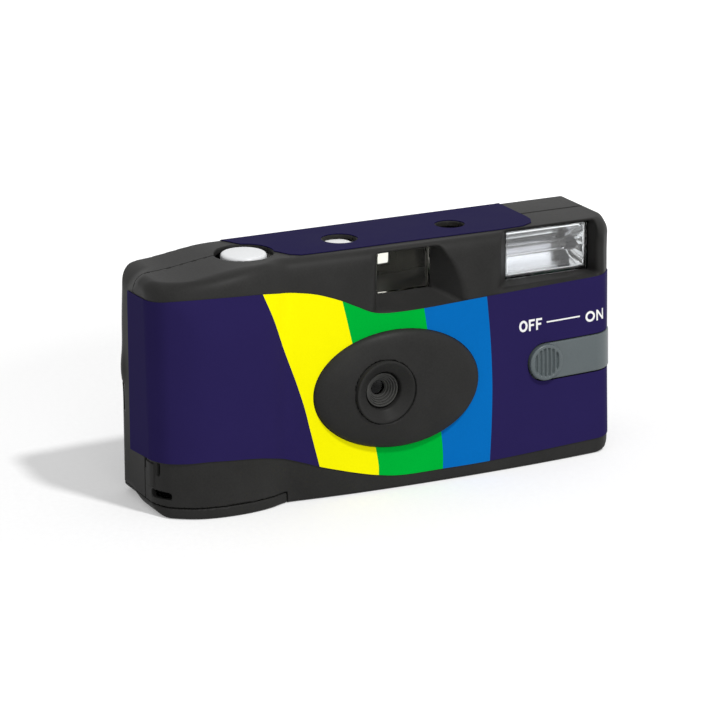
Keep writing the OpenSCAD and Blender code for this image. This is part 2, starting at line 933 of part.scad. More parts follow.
module viewfinder_front_lens() {
    color("#dfe9ee", 0.4)
        difference() {
            box(finder_x - finder_w / 2 + gap_seat, finder_x + finder_w / 2 - gap_seat,
                finder_y, finder_y + lens_plate_t - 2 * gap_seat,
                finder_z - finder_h / 2 + gap_seat, finder_z + finder_h / 2 - gap_seat);
            // Hollow of the diverging lens
            translate([finder_x, finder_y + lens_plate_t + 39.2, finder_z])
                sphere(r = 40, $fn = 320);
        }
}

module viewfinder_rear_lens() {
    color("#dfe9ee", 0.4)
        intersection() {
            box(finder_x - eye_w / 2, finder_x + eye_w / 2, y_back - wall, y_back - 0.1,
                eye_z - eye_h / 2, eye_z + eye_h / 2);
            translate([finder_x, y_back - 40.1, eye_z])
                sphere(r = 40, $fn = 320);
        }
}

module flash_window() {
    color("#e8f0f2", 0.4)
        union() {
            box(flash_x - flash_w / 2 + gap_seat, flash_x + flash_w / 2 - gap_seat,
                flash_y, flash_y + window_t,
                flash_z - flash_h / 2 + gap_seat, flash_z + flash_h / 2 - gap_seat);
            // Fine ribs that spread the light sideways
            for (k = [-9:9])
                box(flash_x + k * 1.1 - 0.2, flash_x + k * 1.1 + 0.2, flash_y + window_t - tiny,
                    flash_y + window_t + 0.09, flash_z - flash_h / 2 + 1, flash_z + flash_h / 2 - 1);
        }
}

module flash_reflector() {
    color("#d8dadc")
        difference() {
            box(flash_x - flash_w / 2 + 0.6, flash_x + flash_w / 2 - 0.6, reflector_y0, reflector_y1,
                flash_z - flash_h / 2 + 0.6, flash_z + flash_h / 2 - 0.6);
            // Trough with a curved back
            translate([flash_x - flash_w / 2 + trough_in, reflector_y0, flash_z])
                rotate([90, 0, 90])
                    linear_extrude(height = flash_w - 2 * trough_in)
                        scale([reflector_y1 - reflector_y0 - 0.6, flash_h / 2 - trough_in])
                            circle(r = 1);
            x_rod(tube_y, flash_z, tube_d / 2 + gap_seat, -far, far);
        }
}

module flash_tube() {
    color("#eef2f0", 0.6)
        x_rod(tube_y, flash_z, tube_d / 2, flash_x - flash_w / 2 - 0.6, flash_x + flash_w / 2 + 0.6);
}

// Slider band between two depths of the body wall, within a height and a width
module wall_band(out, depth, x0, x1, z_half) {
    intersection() {
        difference() {
            body_block(-out);
            body_block(depth);
        }
        box(x0, x1, -front_reach, switch_end, switch_z - z_half, switch_z + z_half);
    }
}

module flash_switch() {
    color("#5f6669")
        union() {
            wall_band(switch_out, switch_t, knob_x, far, switch_h / 2);
            // Neck through the slot and the lip that slides behind the wall
            wall_band(-switch_t + tiny, wall + lip_depth, switch_x0 + lip_x, switch_x0 + lip_x + lip_l,
                neck_half);
            wall_band(-wall - gap_move, wall + lip_depth, switch_x0 + lip_x, switch_x0 + lip_x + lip_l,
                switch_h / 2 + lip_over);
            // Ribbed knob, the round left end
            intersection() {
                wall_band(knob_rise, switch_t, switch_x0, switch_x0 + knob_w, switch_h / 2);
                knob_prism(0, switch_end);
            }
            for (k = [-ribs_a_side:ribs_a_side])
                wall_band(rib_rise, 0.8,
                    knob_x + k * rib_pitch - rib_w / 2, knob_x + k * rib_pitch + rib_w / 2,
                    (switch_h / 2 - 0.6) * sqrt(1 - pow(k * rib_pitch / (knob_w / 2), 2)));
        }
}

module switch_contact() {
    color("#c9a54a")
        box(switch_x0 + lip_x + 1.25 * lip_l, switch_x0 + lip_x + 2.25 * lip_l,
            board_y - board_t - strip_t, board_y - board_t, switch_z - 2, switch_z + 2);
}

module circuit_board() {
    color("#2f6b3c")
        difference() {
            box(board_x0, board_x1, board_y - board_t, board_y, board_z0, board_z1);
            for (x = [board_x0 + 3, board_x1 - 3])
                y_rod(x, board_z0 + 3, 1.1, -far, far);
        }
}

module flash_capacitor() {
    color("#20242c")
        union() {
            x_rod(cap_y, cap_z, cap_r, cap_x0, cap_x1);
            for (side = [-1, 1])
                x_rod(cap_y + side * lead_gap / 2, cap_z, lead_r, cap_x1 - tiny, cap_x1 + lead_l);
        }
}

module transformer() {
    color("#7a5a2a")
        union() {
            for (y = [board_y, board_y + coil_d - coil_flange])
                box(coil_x - coil_w / 2, coil_x + coil_w / 2, y, y + coil_flange,
                    coil_z - coil_h / 2, coil_z + coil_h / 2);
            y_rod(coil_x, coil_z, coil_core_r, board_y, board_y + coil_d);
        }
}

module trigger_coil() {
    color("#2c3550")
        z_rod(coil_x, board_y + trigger_r, trigger_r, trigger_z, trigger_z + trigger_h);
}

module ready_lamp() {
    color("#e0643c")
        union() {
            z_rod(lamp_x, lamp_y, lamp_r, lamp_z, lamp_z + lamp_h);
            translate([lamp_x, lamp_y, lamp_z + lamp_h])
                sphere(r = lamp_r - 0.2);
        }
}

module battery() {
    color("#3c6e58")
        union() {
            z_rod(cell_x, cell_y, cell_d / 2, cell_z, cell_z + cell_h);
            z_rod(cell_x, cell_y, cell_nub_r, cell_z, cell_z + cell_h + cell_nub);
        }
}

module battery_contact_plus() {
    leaf_z = cell_z + cell_h + cell_nub;
    color("#c8c8c0")
        union() {
            box(cell_x - leaf_w / 2, cell_x + leaf_w / 2, cell_y - leaf_front, cell_y + leaf_back,
                leaf_z, leaf_z + leaf_t);
            box(cell_x - leaf_w / 2, cell_x + leaf_w / 2, cell_y - leaf_front, cell_y - leaf_front + leaf_t,
                leaf_z, leaf_z + 2);
        }
}

module battery_contact_minus() {
    step_z = (floor_top + cell_z) / 2;
    color("#c8c8c0")
        union() {
            box(cell_x - base_half, cell_x + base_half, cell_y - base_half, cell_y + base_half,
                floor_top, floor_top + leaf_t);
            z_tube(cell_x, cell_y, coil_spring_r, coil_spring_r - coil_spring_t, floor_top, step_z + 0.1);
            z_tube(cell_x, cell_y, coil_spring_r - 0.5, coil_spring_r - 0.5 - coil_spring_t,
                step_z - 0.1, cell_z);
        }
}

module shutter_button() {
    color("#eceae4")
        union() {
            z_rod(button_x, button_y, button_d / 2, flange_top - flange_t, button_top - button_chamfer);
            translate([button_x, button_y, button_top - button_chamfer - tiny])
                cylinder(r1 = button_d / 2, r2 = button_d / 2 - 0.9, h = button_chamfer);
            z_rod(button_x, button_y, flange_r, flange_top - flange_t, flange_top);
            // Arm and pointed stem that turn the metering lever
            box(button_x, stem_x + arm_half, button_y - arm_half, button_y + arm_half,
                flange_top - flange_t, flange_top);
            z_rod(stem_x, button_y, stem_r, stem_end + stem_r - tiny, flange_top - flange_t + tiny);
            translate([stem_x, button_y, stem_end])
                cylinder(r1 = 0.1, r2 = stem_r, h = stem_r);
        }
}

module button_spring() {
    color("#b8b8b4")
        z_tube(stem_x, button_y, stem_r + 0.8, stem_r + gap_move + play, keeper_top, flange_top - flange_t);
}

module advance_wheel() {
    color("#262626")
        difference() {
            union() {
                translate([cassette_x, cassette_y, wheel_z])
                    linear_extrude(height = wheel_t)
                        union() {
                            circle(r = wheel_r - wheel_tooth);
                            for (k = [0:wheel_teeth - 1])
                                rotate(k * 360 / wheel_teeth)
                                    translate([0, -wheel_tooth_w / 2])
                                        square([wheel_r, wheel_tooth_w]);
                        }
                // Hub and fork that drive the cassette spool
                z_rod(cassette_x, cassette_y, hub_r, upper_deck_z, wheel_z + tiny);
                z_rod(cassette_x, cassette_y, fork_r, cassette_z + cassette_h - fork_l, upper_deck_z + tiny);
                box(cassette_x - fork_span / 2, cassette_x + fork_span / 2, cassette_y - fork_w / 2,
                    cassette_y + fork_w / 2, cassette_z + cassette_h - fork_l, upper_deck_z + tiny);
            }
            z_rod(cassette_x, cassette_y, hub_r - 1, wheel_z + wheel_t - 2, far);
        }
}

module anti_reverse_pawl() {
    color("#d8d4c8")
        difference() {
            translate([pawl_x, pawl_y, wheel_z])
                linear_extrude(height = pawl_t)
                    union() {
                        circle(r = lever_hub_r);
                        rotate(pawl_angle)
                            translate([0, -lever_w / 2])
                                square([pawl_l, lever_w]);
                    }
            z_rod(pawl_x, pawl_y, pin_r + play, 0, far);
        }
}

// A closely wound torsion spring with two straight legs, round a pin at the origin
module torsion_spring(r, wire, turns, leg_a, leg_b, leg_l) {
    height = 2 * wire * turns;
    z_tube(0, 0, r + wire, r - wire, 0, height);
    rotate([0, 0, leg_a])
        translate([0, r, wire])
            rotate([0, 90, 0])
                cylinder(r = wire * 0.9, h = leg_l, $fn = 16);
    rotate([0, 0, leg_b])
        translate([0, -r, height - wire])
            rotate([0, 90, 0])
                cylinder(r = wire * 0.9, h = leg_l, $fn = 16);
}

module pawl_spring() {
    color("#b8b8b4")
        translate([pawl_x, pawl_y, wheel_z + pawl_t + 0.02])
            torsion_spring(coil_r, wire_r, 4, pawl_angle, 60, pawl_leg);
}

module film_cassette() {
    color("#8a8f94")
        difference() {
            z_rod(cassette_x, cassette_y, cassette_r, cassette_z, cassette_z + cassette_h);
            z_rod(cassette_x, cassette_y, cassette_r - shell_t,
                cassette_z + cap_disc_t, cassette_z + cassette_h - cap_disc_t);
            z_rod(cassette_x, cassette_y, spool_r + 0.2, 0, far);
            // Mouth that the film comes out of
            box(cassette_x + mouth_in, cassette_x + cassette_r + 1, film_y - 0.4, film_y + 0.5,
                lens_z - film_w / 2 - 0.2, lens_z + film_w / 2 + 0.2);
        }
}

module cassette_spool() {
    color("#33353a")
        difference() {
            union() {
                z_rod(cassette_x, cassette_y, spool_r, cassette_z + 0.2, cassette_z + cassette_h);
                for (z = [cassette_z + 1, cassette_z + cassette_h - 1 - spool_flange_t])
                    z_rod(cassette_x, cassette_y, spool_flange_r, z, z + spool_flange_t);
            }
            z_rod(cassette_x, cassette_y, fork_span / 2 + 0.2, cassette_z + cassette_h - fork_l - 0.4, far);
            z_rod(cassette_x, cassette_y, spool_r - spool_wall, 0, cassette_z + fork_l);
        }
}

module film_strip() {
    perforation_pitch = 4.75;
    color("#4a3a34")
        difference() {
            box(cassette_x + 4.6, roll_x, film_y, film_y + film_t, lens_z - film_w / 2, lens_z + film_w / 2);
            for (k = [0:12], side = [-1, 1])
                box(cassette_x + 6 + k * perforation_pitch, cassette_x + 8 + k * perforation_pitch,
                    film_y - 1, film_y + 1,
                    lens_z + side * (film_w / 2 - 3.4) - 1.4, lens_z + side * (film_w / 2 - 3.4) + 1.4);
        }
}

module film_roll() {
    color("#4a3a34")
        z_tube(roll_x, roll_y, roll_d / 2, core_r, lens_z - film_w / 2, lens_z + film_w / 2);
}

module supply_spool() {
    color("#222222")
        union() {
            z_rod(roll_x, roll_y, core_r, lens_z - film_w / 2, lens_z + film_w / 2);
            z_rod(roll_x, roll_y, axle_r, floor_top + 0.1, deck_z - 0.1);
            z_rod(roll_x, roll_y, roll_d / 2 - 1.3, floor_top + gap_move, floor_top + gap_move + 1.2);
        }
}

module sprocket_wheel() {
    color("#d8d4c8")
        union() {
            translate([sprocket_x, sprocket_y, sprocket_z])
                linear_extrude(height = sprocket_t)
                    union() {
                        circle(r = sprocket_r - 0.9);
                        for (k = [0:7])
                            rotate(k * 45)
                                translate([0, -0.6])
                                    square([sprocket_r, 1.2]);
                    }
            z_rod(sprocket_x, sprocket_y, shaft_r, sprocket_z, dial_z + dial_t + dial_end);
        }
}

module wind_cam() {
    color("#e0dccf")
        difference() {
            union() {
                z_rod(sprocket_x, sprocket_y, cam_r - 1, cam_z, cam_z + cam_t);
                intersection() {
                    z_rod(sprocket_x, sprocket_y, cam_r, cam_z, cam_z + cam_t);
                    box(-far, sprocket_x + 1.6, -far, far, 0, far);
                }
            }
            z_rod(sprocket_x, sprocket_y, shaft_r + 0.02, 0, far);
        }
}

module counter_dial() {
    color("#f2f0ea")
        translate([dial_x, dial_y, dial_z])
            linear_extrude(height = dial_t)
                difference() {
                    union() {
                        circle(r = dial_r - 0.6);
                        for (k = [0:dial_teeth - 1])
                            rotate(k * 360 / dial_teeth)
                                translate([0, -0.3])
                                    square([dial_r, 0.6]);
                    }
                    circle(r = dial_pin_r + play);
                }
}

module metering_lever() {
    color("#c8c4b8")
        difference() {
            union() {
                z_rod(meter_x, meter_y, lever_hub_r, lever_z, lever_z + lever_t);
                // Arm that the stem of the button pushes aside
                translate([meter_x, meter_y, lever_z])
                    rotate([0, 0, atan2(button_y - meter_y, stem_x - meter_x)])
                        box(0, norm([button_y - meter_y, stem_x - meter_x]) + 0.7, 0.2, 1.7, 0, lever_t);
                // Finger at the cam
                translate([meter_x, meter_y, lever_z])
                    rotate([0, 0, finger_angle])
                        box(0, finger_l, -lever_w / 2, lever_w / 2, 0, lever_t);
            }
            z_rod(meter_x, meter_y, pin_r + play, 0, far);
        }
}

module metering_spring() {
    color("#b8b8b4")
        translate([meter_x, meter_y, lever_z + lever_t + 0.02])
            torsion_spring(coil_r, wire_r, 4, 144, 20, meter_leg);
}

module striker_lever() {
    color("#c8c4b8")
        difference() {
            union() {
                z_rod(striker_x, striker_y, lever_hub_r, lever_z, lever_z + lever_t);
                // Arm that hits the shutter blade
                translate([striker_x, striker_y, lever_z])
                    rotate([0, 0, hit_angle])
                        box(0, hit_l, -lever_w / 2, lever_w / 2, 0, lever_t);
                // Arm that the cam cocks
                translate([striker_x, striker_y, lever_z])
                    rotate([0, 0, cock_angle])
                        box(0, cock_l, -cock_w / 2, cock_w / 2, 0, lever_t);
            }
            z_rod(striker_x, striker_y, pin_r + play, 0, far);
        }
}

module striker_spring() {
    color("#b8b8b4")
        translate([striker_x, striker_y, lever_z + lever_t + 0.02])
            torsion_spring(coil_r, wire_r, 5, cock_angle, 20, striker_leg);
}

module shutter_blade() {
    reach_x = lens_x - blade_px;
    reach_z = lens_z - blade_pz;
    color("#8c8c90")
        difference() {
            union() {
                y_rod(lens_x, lens_z, blade_r, blade_y0, blade_y0 + blade_t);
                y_rod(blade_px, blade_pz, 1.8, blade_y0, blade_y0 + blade_t);
                translate([blade_px, blade_y0, blade_pz])
                    rotate([0, -atan2(reach_z, reach_x), 0])
                        box(0, norm([reach_x, reach_z]), 0, blade_t, -1.1, 1.1);
                box(blade_px - 0.8, blade_px + 0.8, blade_y0, blade_y0 + blade_t, blade_pz, lever_z + 1.2);
            }
            y_rod(blade_px, blade_pz, blade_pin_r + play, -far, far);
        }
}

module shutter_spring() {
    color("#b8b8b4")
        translate([blade_px, blade_y0 - 0.02, blade_pz])
            rotate([90, 0, 0])
                torsion_spring(blade_pin_r + 0.45, wire_r, 4, -46, 200, blade_leg);
}

module sync_contact() {
    color("#c9a54a")
        union() {
            box(sync_x, sync_x + sync_w, shutter_y0 - strip_t, shutter_y0, sync_z, sync_z + sync_h);
            box(sync_x, sync_x + sync_w, shutter_y0 - sync_out, shutter_y0 - tiny, sync_z, sync_z + strip_t);
        }
}

front_cover();
rear_cover();
film_door();
front_label();
top_label();
main_frame();
keeper_plate();
lens_holder();
taking_lens();
lens_retainer();
viewfinder_front_lens();
viewfinder_rear_lens();
flash_window();
flash_reflector();
flash_tube();
flash_switch();
switch_contact();
circuit_board();
flash_capacitor();
transformer();
trigger_coil();
ready_lamp();
battery();
battery_contact_plus();
battery_contact_minus();
shutter_button();
button_spring();
advance_wheel();
anti_reverse_pawl();
pawl_spring();
film_cassette();
cassette_spool();
film_strip();
film_roll();
supply_spool();
sprocket_wheel();
wind_cam();
counter_dial();
metering_lever();
metering_spring();
striker_lever();
striker_spring();
shutter_blade();
shutter_spring();
sync_contact();
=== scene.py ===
import json
import math

import bmesh
import bpy
import numpy as np
from mathutils import Matrix, Vector
from mathutils.geometry import delaunay_2d_cdt


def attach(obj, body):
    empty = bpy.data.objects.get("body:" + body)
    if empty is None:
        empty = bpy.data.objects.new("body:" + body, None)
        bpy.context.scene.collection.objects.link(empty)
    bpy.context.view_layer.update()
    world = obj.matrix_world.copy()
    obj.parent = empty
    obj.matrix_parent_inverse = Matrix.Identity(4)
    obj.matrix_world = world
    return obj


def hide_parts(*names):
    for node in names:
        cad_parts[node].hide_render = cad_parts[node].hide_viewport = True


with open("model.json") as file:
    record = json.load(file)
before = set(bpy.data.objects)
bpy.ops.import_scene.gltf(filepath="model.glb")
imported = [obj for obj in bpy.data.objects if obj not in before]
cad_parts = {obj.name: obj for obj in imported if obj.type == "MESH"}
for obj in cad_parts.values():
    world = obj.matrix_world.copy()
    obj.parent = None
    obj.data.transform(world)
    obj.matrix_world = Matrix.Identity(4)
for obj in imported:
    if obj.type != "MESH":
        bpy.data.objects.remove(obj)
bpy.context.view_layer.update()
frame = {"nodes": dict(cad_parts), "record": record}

# Lengths below are millimetres, and one factor takes them to the frame's metres
MM = 0.001
NODES = frame["nodes"]

# Body sizes
END_X = 59.0
BACK_Y = 15.47
TOP_Z = 56.77
SHOULDER_DROP = 2.1
WALL = 1.4
SEAM_Y = 4.7
SEAM_GAP = 0.03
LABEL_RISE = 0.23
MARK_RISE = LABEL_RISE + 0.02
LABEL_END, LABEL_BACK = 59.2, 7.7

# Places of the pieces that show
LENS_X, LENS_Z = -4.8, 24.5
OVAL_X, OVAL_Z, OVAL_A, OVAL_B = -0.45, 24.2, 20.9, 13.9
SWITCH_Z = 25.0
KNOB_X, KNOB_A, KNOB_B = 38.75, 4.75, 4.6
BUTTON_X, BUTTON_Y = -32.2, 3.1
COUNTER_X, COUNTER_Y = -7.5, 3.6
DIAL_X = -13.0
LAMP_X, LAMP_Y = 21.3, 3.4
CASSETTE_X = -41.5
FINDER_X = 4.8
DOOR_TOP, DOOR_END = 2.6, -28.5
TUBE_Y, TUBE_Z = -0.4, 49.87
ELECTRODE_X = 49.55


# Distance fields: below zero inside, in millimetres
def ease(v, low, high):
    """Smooth step from 0 at low to 1 at high."""
    u = np.clip((v - low) / (high - low), 0.0, 1.0)
    return u * u * (3.0 - 2.0 * u)


def round_max(a, b, r):
    """What a and b share, with the edge between them rounded by r."""
    return np.minimum(np.maximum(a, b), -r) + np.hypot(np.maximum(a + r, 0.0), np.maximum(b + r, 0.0))


def blend_min(a, b, k):
    """a and b joined, with a soft hollow of width k between them."""
    h = np.maximum(k - np.abs(a - b), 0.0) / k
    return np.minimum(a, b) - h * h * k / 4.0


def block(x, y, z, low, high, r=0.0):
    """Box from low to high, with its edges rounded by r."""
    parts = []
    for v, lo, hi in zip((x, y, z), low, high):
        parts.append(np.abs(v - (lo + hi) / 2.0) - (hi - lo) / 2.0)
    if r == 0.0:
        return np.maximum(np.maximum(parts[0], parts[1]), parts[2])
    return round_max(round_max(parts[0], parts[1], r), parts[2], r)


def lean(y, z, degrees):
    a = math.radians(degrees)
    return y * math.cos(a) - z * math.sin(a)


def front_face(x, y, z):
    bulge = np.hypot(x - CASSETTE_X, lean(y, z, 1.6) - 8.75) - 23.5
    face = np.hypot(x - 18.0, lean(y, z, 3.0) - 371.05) - 385.0
    return blend_min(bulge, face, 1.5)


def body(x, y, z):
    """Outer form of the closed camera, without its openings."""
    top = TOP_Z - SHOULDER_DROP * (1.0 - ease(x, -56.0, -35.0))
    front_limit = -13.2 - 2.5 * (1.0 - ease(z, 40.0, 52.0))
    crest = round_max(front_limit - y, z - top, 6.0)
    f = round_max(front_face(x, y, z), crest, 3.8)
    f = round_max(f, y - BACK_Y, 2.0 - 1.4 * ease(z, 46.0, 53.0))
    f = round_max(f, -z, 0.9)
    fore = 1.0 - ease(y, -8.0, -2.0)
    heel = ease(y, 2.0, 9.0)
    f = round_max(f, x - END_X, 1.3 + 4.7 * fore * (1.0 - 0.2 * ease(z, 48.0, 56.0)))
    return round_max(f, -END_X - x, 2.7 + heel * (1.8 + 1.2 * ease(z, 40.0, 55.0)))


def finder_scoop(x, y, z):
    deep = np.maximum(-4.7 - y, 0.0)
    flare = np.maximum((5.6 - 0.03 * np.maximum(z - 42.5, 0.0) ** 2) / 6.6, 0.03)
    right = (x - 12.0 - flare * deep) / np.hypot(1.0, flare)
    left = (-2.1 - 0.55 * deep - x) / 1.14
    sill = (44.9 - 0.48 * deep - z) / 1.11
    ceiling = (z - 55.0 - 0.21 * deep) / 1.02
    sides = round_max(right, left, 0.4)
    f = round_max(sides, round_max(sill, ceiling, 0.4), 0.8)
    return round_max(f, y + 3.2, 0.2)


def flash_recess(x, y, z):
    deep = np.maximum(-5.2 - y, 0.0)
    left = (31.6 - 0.8 * deep - x) / 1.28
    sides = np.maximum(left, x - 54.4 - 0.05 * deep)
    height = round_max(43.85 - z, z - 55.9 - 0.4 * deep, 0.3)
    return round_max(round_max(sides, height, 0.5), y + 3.3, 0.2)


def top_holes(x, y, z):
    button = np.hypot(x - BUTTON_X, y - BUTTON_Y)
    well = np.minimum(button - 5.8, np.maximum(button - 6.8, 55.2 - z))
    counter = np.hypot(x - COUNTER_X, y - COUNTER_Y) - 4.0
    lamp = np.hypot(x - LAMP_X, y - LAMP_Y) - 3.3
    return np.maximum(np.minimum(np.minimum(well, counter), lamp), 50.0 - z)


def ring_room(x, y, z):
    return np.maximum(np.hypot(x - DIAL_X, y - COUNTER_Y) - 9.3, np.maximum(z - 55.8, 54.0 - z))


def knob_reach(x, z):
    return np.sqrt(((x - KNOB_X) / KNOB_A) ** 2 + ((z - SWITCH_Z) / KNOB_B) ** 2)


def switch_slot(x, y, z):
    bar = np.maximum(np.abs(z - SWITCH_Z) - 4.68, KNOB_X - x)
    return np.maximum(np.minimum(bar, (knob_reach(x, z) - 1.0) * KNOB_B - 0.08), y + 2.0)


def oval_reach(x, z):
    return np.sqrt(((x - OVAL_X) / OVAL_A) ** 2 + ((z - OVAL_Z) / OVAL_B) ** 2)


def door_room(x, z, g):
    return np.maximum(z - DOOR_TOP - g, x - DOOR_END - g)


def seam(x, y, z):
    """Below zero in front of the seam, which steps forward low on the left end."""
    step = np.maximum(np.maximum(z - 12.7, x + 50.0), -0.1 - y)
    return np.maximum(y - SEAM_Y, -step)


def front_cover(x, y, z):
    skin = body(x, y, z)
    # Finder scoop and flash recess, with softer edges at the sides and below
    left_side = 1.0 - ease(x, -2.0, 2.0)
    outer = round_max(skin, -finder_scoop(x, y, z), 0.9 + 0.9 * left_side * (1.0 - ease(z, 50.0, 55.0)))
    below = 1.0 - ease(z, 44.5, 48.5)
    left_side = (1.0 - ease(x, 30.0, 34.0)) * (1.0 - ease(z, 50.0, 55.0))
    right_side = ease(x, 50.0, 54.0) * (1.0 - ease(z, 51.0, 55.5))
    softness = np.maximum(np.maximum(below, left_side), right_side)
    outer = round_max(outer, -flash_recess(x, y, z), 0.5 + 1.7 * softness)
    f = np.maximum(outer, -(outer + WALL))
    # Raised oval round the lens
    reach = oval_reach(x, z)
    face = front_face(x, y, z)
    crown = face - 0.3 - 3.15 * np.maximum(1.0 - reach ** 3, 0.0) ** 0.6
    oval = round_max(crown, (reach - 1.0) * 14.0, 0.3)
    f = np.minimum(f, np.maximum(oval, -(face + WALL)))
    # Catch on the left end
    tab = block(x, y, z, (-61.0, -5.0, 6.4), (-57.8, -1.3, 12.4), 0.3)
    f = np.minimum(f, np.maximum(tab, skin - 0.3))
    catch_slot = block(x, y, z, (-62.0, -1.2, 10.4), (-57.4, -0.3, 12.7))
    hook_slot = block(x, y, z, (-62.0, -6.4, 9.8), (-57.0, -5.4, 12.7))
    f = np.maximum(f, -np.minimum(catch_slot, hook_slot))
    # Openings
    finder_hole = block(x, y, z, (-2.1, -6.0, 44.95), (12.0, 0.0, 54.95))
    flash_hole = block(x, y, z, (31.7, -7.0, 43.95), (54.3, 0.0, 55.8))
    f = np.maximum(f, -np.minimum(finder_hole, flash_hole))
    f = round_max(f, -switch_slot(x, y, z), 0.15)
    f = round_max(f, -top_holes(x, y, z), 0.25)
    f = round_max(f, np.minimum(7.54 - np.hypot(x - LENS_X, z - LENS_Z), -3.0 - y), 0.1)
    f = round_max(f, -door_room(x, z, 0.2), 0.2)
    # Room under the roof for the number ring of the counter
    f = np.maximum(f, -ring_room(x, y, z))
    # Slot for prying at the lower left corner
    along = (x + 57.9) * 0.42 - (y + 6.6) * 0.91
    pry = round_max(np.abs(z - 5.3) - 0.85, np.abs(along) - 2.9, 0.5)
    f = round_max(f, -np.maximum(pry, np.maximum(x + 54.0, y - 2.0)), 0.15)
    return round_max(f, seam(x, y, z) + SEAM_GAP, 0.12)


def rear_cover(x, y, z):
    skin = body(x, y, z)
    # Soft bulge on the left end over the latch
    skin = skin - 0.45 * np.exp(-((y - 12.0) / 2.2) ** 2 - ((z - 30.6) / 3.8) ** 2) * (x < 0.0)
    f = np.maximum(skin, -(skin + WALL))
    recess = round_max(
        round_max(np.abs(x - CASSETTE_X) - 11.0, np.abs(z - 49.85) - 2.75, 1.2), 11.9 - y, 0.4)
    f = np.minimum(f, np.maximum(skin, recess - 1.2))
    for side in (-1.0, 1.0):
        height = LENS_Z + side * 16.0
        rail = block(x, y, z, (-26.0, 13.22, height - 0.8), (16.0, 14.4, height + 0.8))
        f = np.minimum(f, rail)
    f = round_max(f, -recess, 0.5)
    slot = np.maximum(np.abs(x - CASSETTE_X) - 9.2, np.maximum(np.abs(z - 49.7) - 2.1, 5.0 - y))
    f = round_max(f, -slot, 0.15)
    f = round_max(f, -top_holes(x, y, z), 0.25)
    eye = round_max(np.abs(x - FINDER_X) - 5.9, np.abs(z - 49.57) - 4.0, 0.6)
    f = round_max(f, -np.maximum(eye, 10.0 - y), 0.3)
    # Mask of the finder in front of the eyepiece
    mask = block(x, y, z, (-2.0, 12.9, 45.0), (11.6, 13.8, 54.9))
    sight = round_max(np.abs(x - FINDER_X) - 4.05, np.abs(z - 50.2) - 3.0, 0.4)
    f = np.minimum(f, np.maximum(mask, -sight))
    f = np.maximum(f, -ring_room(x, y, z))
    latch = np.maximum(round_max(np.abs(y - 11.97) - 0.9, np.abs(z - 23.9) - 3.5, 0.3), x + 56.0)
    f = round_max(f, -latch, 0.2)
    f = round_max(f, -door_room(x, z, 0.2), 0.2)
    return round_max(f, SEAM_GAP - seam(x, y, z), 0.12)


def film_door(x, y, z):
    skin = body(x, y, z)
    f = np.maximum(skin, -(skin + WALL))
    f = round_max(f, z - DOOR_TOP, 0.25)
    return round_max(f, x - DOOR_END, 0.25)


def flash_switch(x, y, z):
    skin = body(x, y, z)
    bar = round_max(np.abs(skin + 0.3) - 0.8, np.abs(z - SWITCH_Z) - 4.42, 0.4)
    bar = np.maximum(bar, np.maximum(KNOB_X - x, y + 3.0))
    reach = knob_reach(x, z)
    grooves = 0.36 - 0.36 * np.cos((x - KNOB_X) * 2.0 * math.pi / 1.16)
    crown = skin - 1.25 - 0.4 * np.sqrt(np.maximum(1.0 - reach ** 2, 0.0))
    crown = crown + grooves * (1.0 - ease(reach, 0.7, 0.8))
    knob = round_max(crown, (reach - 0.95) * KNOB_B, 0.45)
    knob = np.maximum(knob, -(skin + 1.1))
    # Neck through the slot and the lip that slides behind the wall
    neck = np.maximum(np.abs(skin + 1.5) - 0.9, np.abs(z - SWITCH_Z) - 2.76)
    lip = np.maximum(np.abs(skin + 2.1) - 0.4, np.abs(z - SWITCH_Z) - 6.2)
    behind = np.maximum(np.minimum(neck, lip), np.maximum(np.abs(x - 38.0) - 3.0, y + 3.0))
    return np.minimum(np.minimum(bar, knob), behind)


def shutter_button(x, y, z):
    across = np.hypot(x - BUTTON_X, y - BUTTON_Y)
    crown = z - 57.1 + 0.012 * across ** 2
    cap = round_max(across - 5.35, crown, 0.7)
    f = np.maximum(cap, 53.3 - z)
    flange = np.maximum(across - 6.2, np.abs(z - 53.77) - 0.5)
    arm = block(x, y, z, (-32.2, 1.6, 53.3), (-23.8, 4.6, 54.25), 0.2)
    stem = np.maximum(np.hypot(x + 25.0, y - BUTTON_Y) - 1.0, np.maximum(45.9 - z, z - 54.0))
    return np.minimum(np.minimum(f, flange), np.minimum(arm, stem))


def flash_window(x, y, z):
    return block(x, y, z, (31.8, -5.2, 44.07), (54.2, -3.52, 55.67), 0.35)


def flash_reflector(x, y, z):
    shell = block(x, y, z, (32.3, -3.5, 44.57), (53.7, 2.0, 55.17), 0.3)
    rise = (z - TUBE_Z) / 5.0
    trough = (y - 1.5 + 5.2 * rise ** 2) / np.hypot(1.0, 2.08 * rise)
    pleats = 0.22 * np.abs(np.sin(5.0 * np.arctan2(z - TUBE_Z, 1.2 - y)))
    right = (x - 53.3 + 0.62 * (y + 3.5) + pleats) / 1.18
    cavity = np.maximum(trough, np.maximum(right, 32.9 - x))
    hole = np.hypot(y - TUBE_Y, z - TUBE_Z) - 1.62
    return np.maximum(shell, -np.minimum(cavity, hole))


def finder_front_lens(x, y, z):
    plate = block(x, y, z, (-2.0, -4.7, 45.0), (11.9, -3.4, 54.87), 0.3)
    bowl = np.sqrt((x - FINDER_X) ** 2 + (y - 36.0) ** 2 + (z - 50.27) ** 2) - 40.0
    return np.maximum(plate, -bowl)


def counter_dial(x, y, z):
    across = np.hypot(x - DIAL_X, y - COUNTER_Y)
    turn = np.arctan2(y - COUNTER_Y, x - DIAL_X)
    teeth = 8.0 + 0.28 * np.cos(30.0 * turn)
    wheel = np.maximum(across - teeth, np.abs(z - 54.47) - 0.6)
    ring = round_max(np.abs(across - 5.35) - 3.55, np.abs(z - 55.1) - 0.55, 0.12)
    return np.maximum(np.minimum(wheel, ring), 1.35 - across)


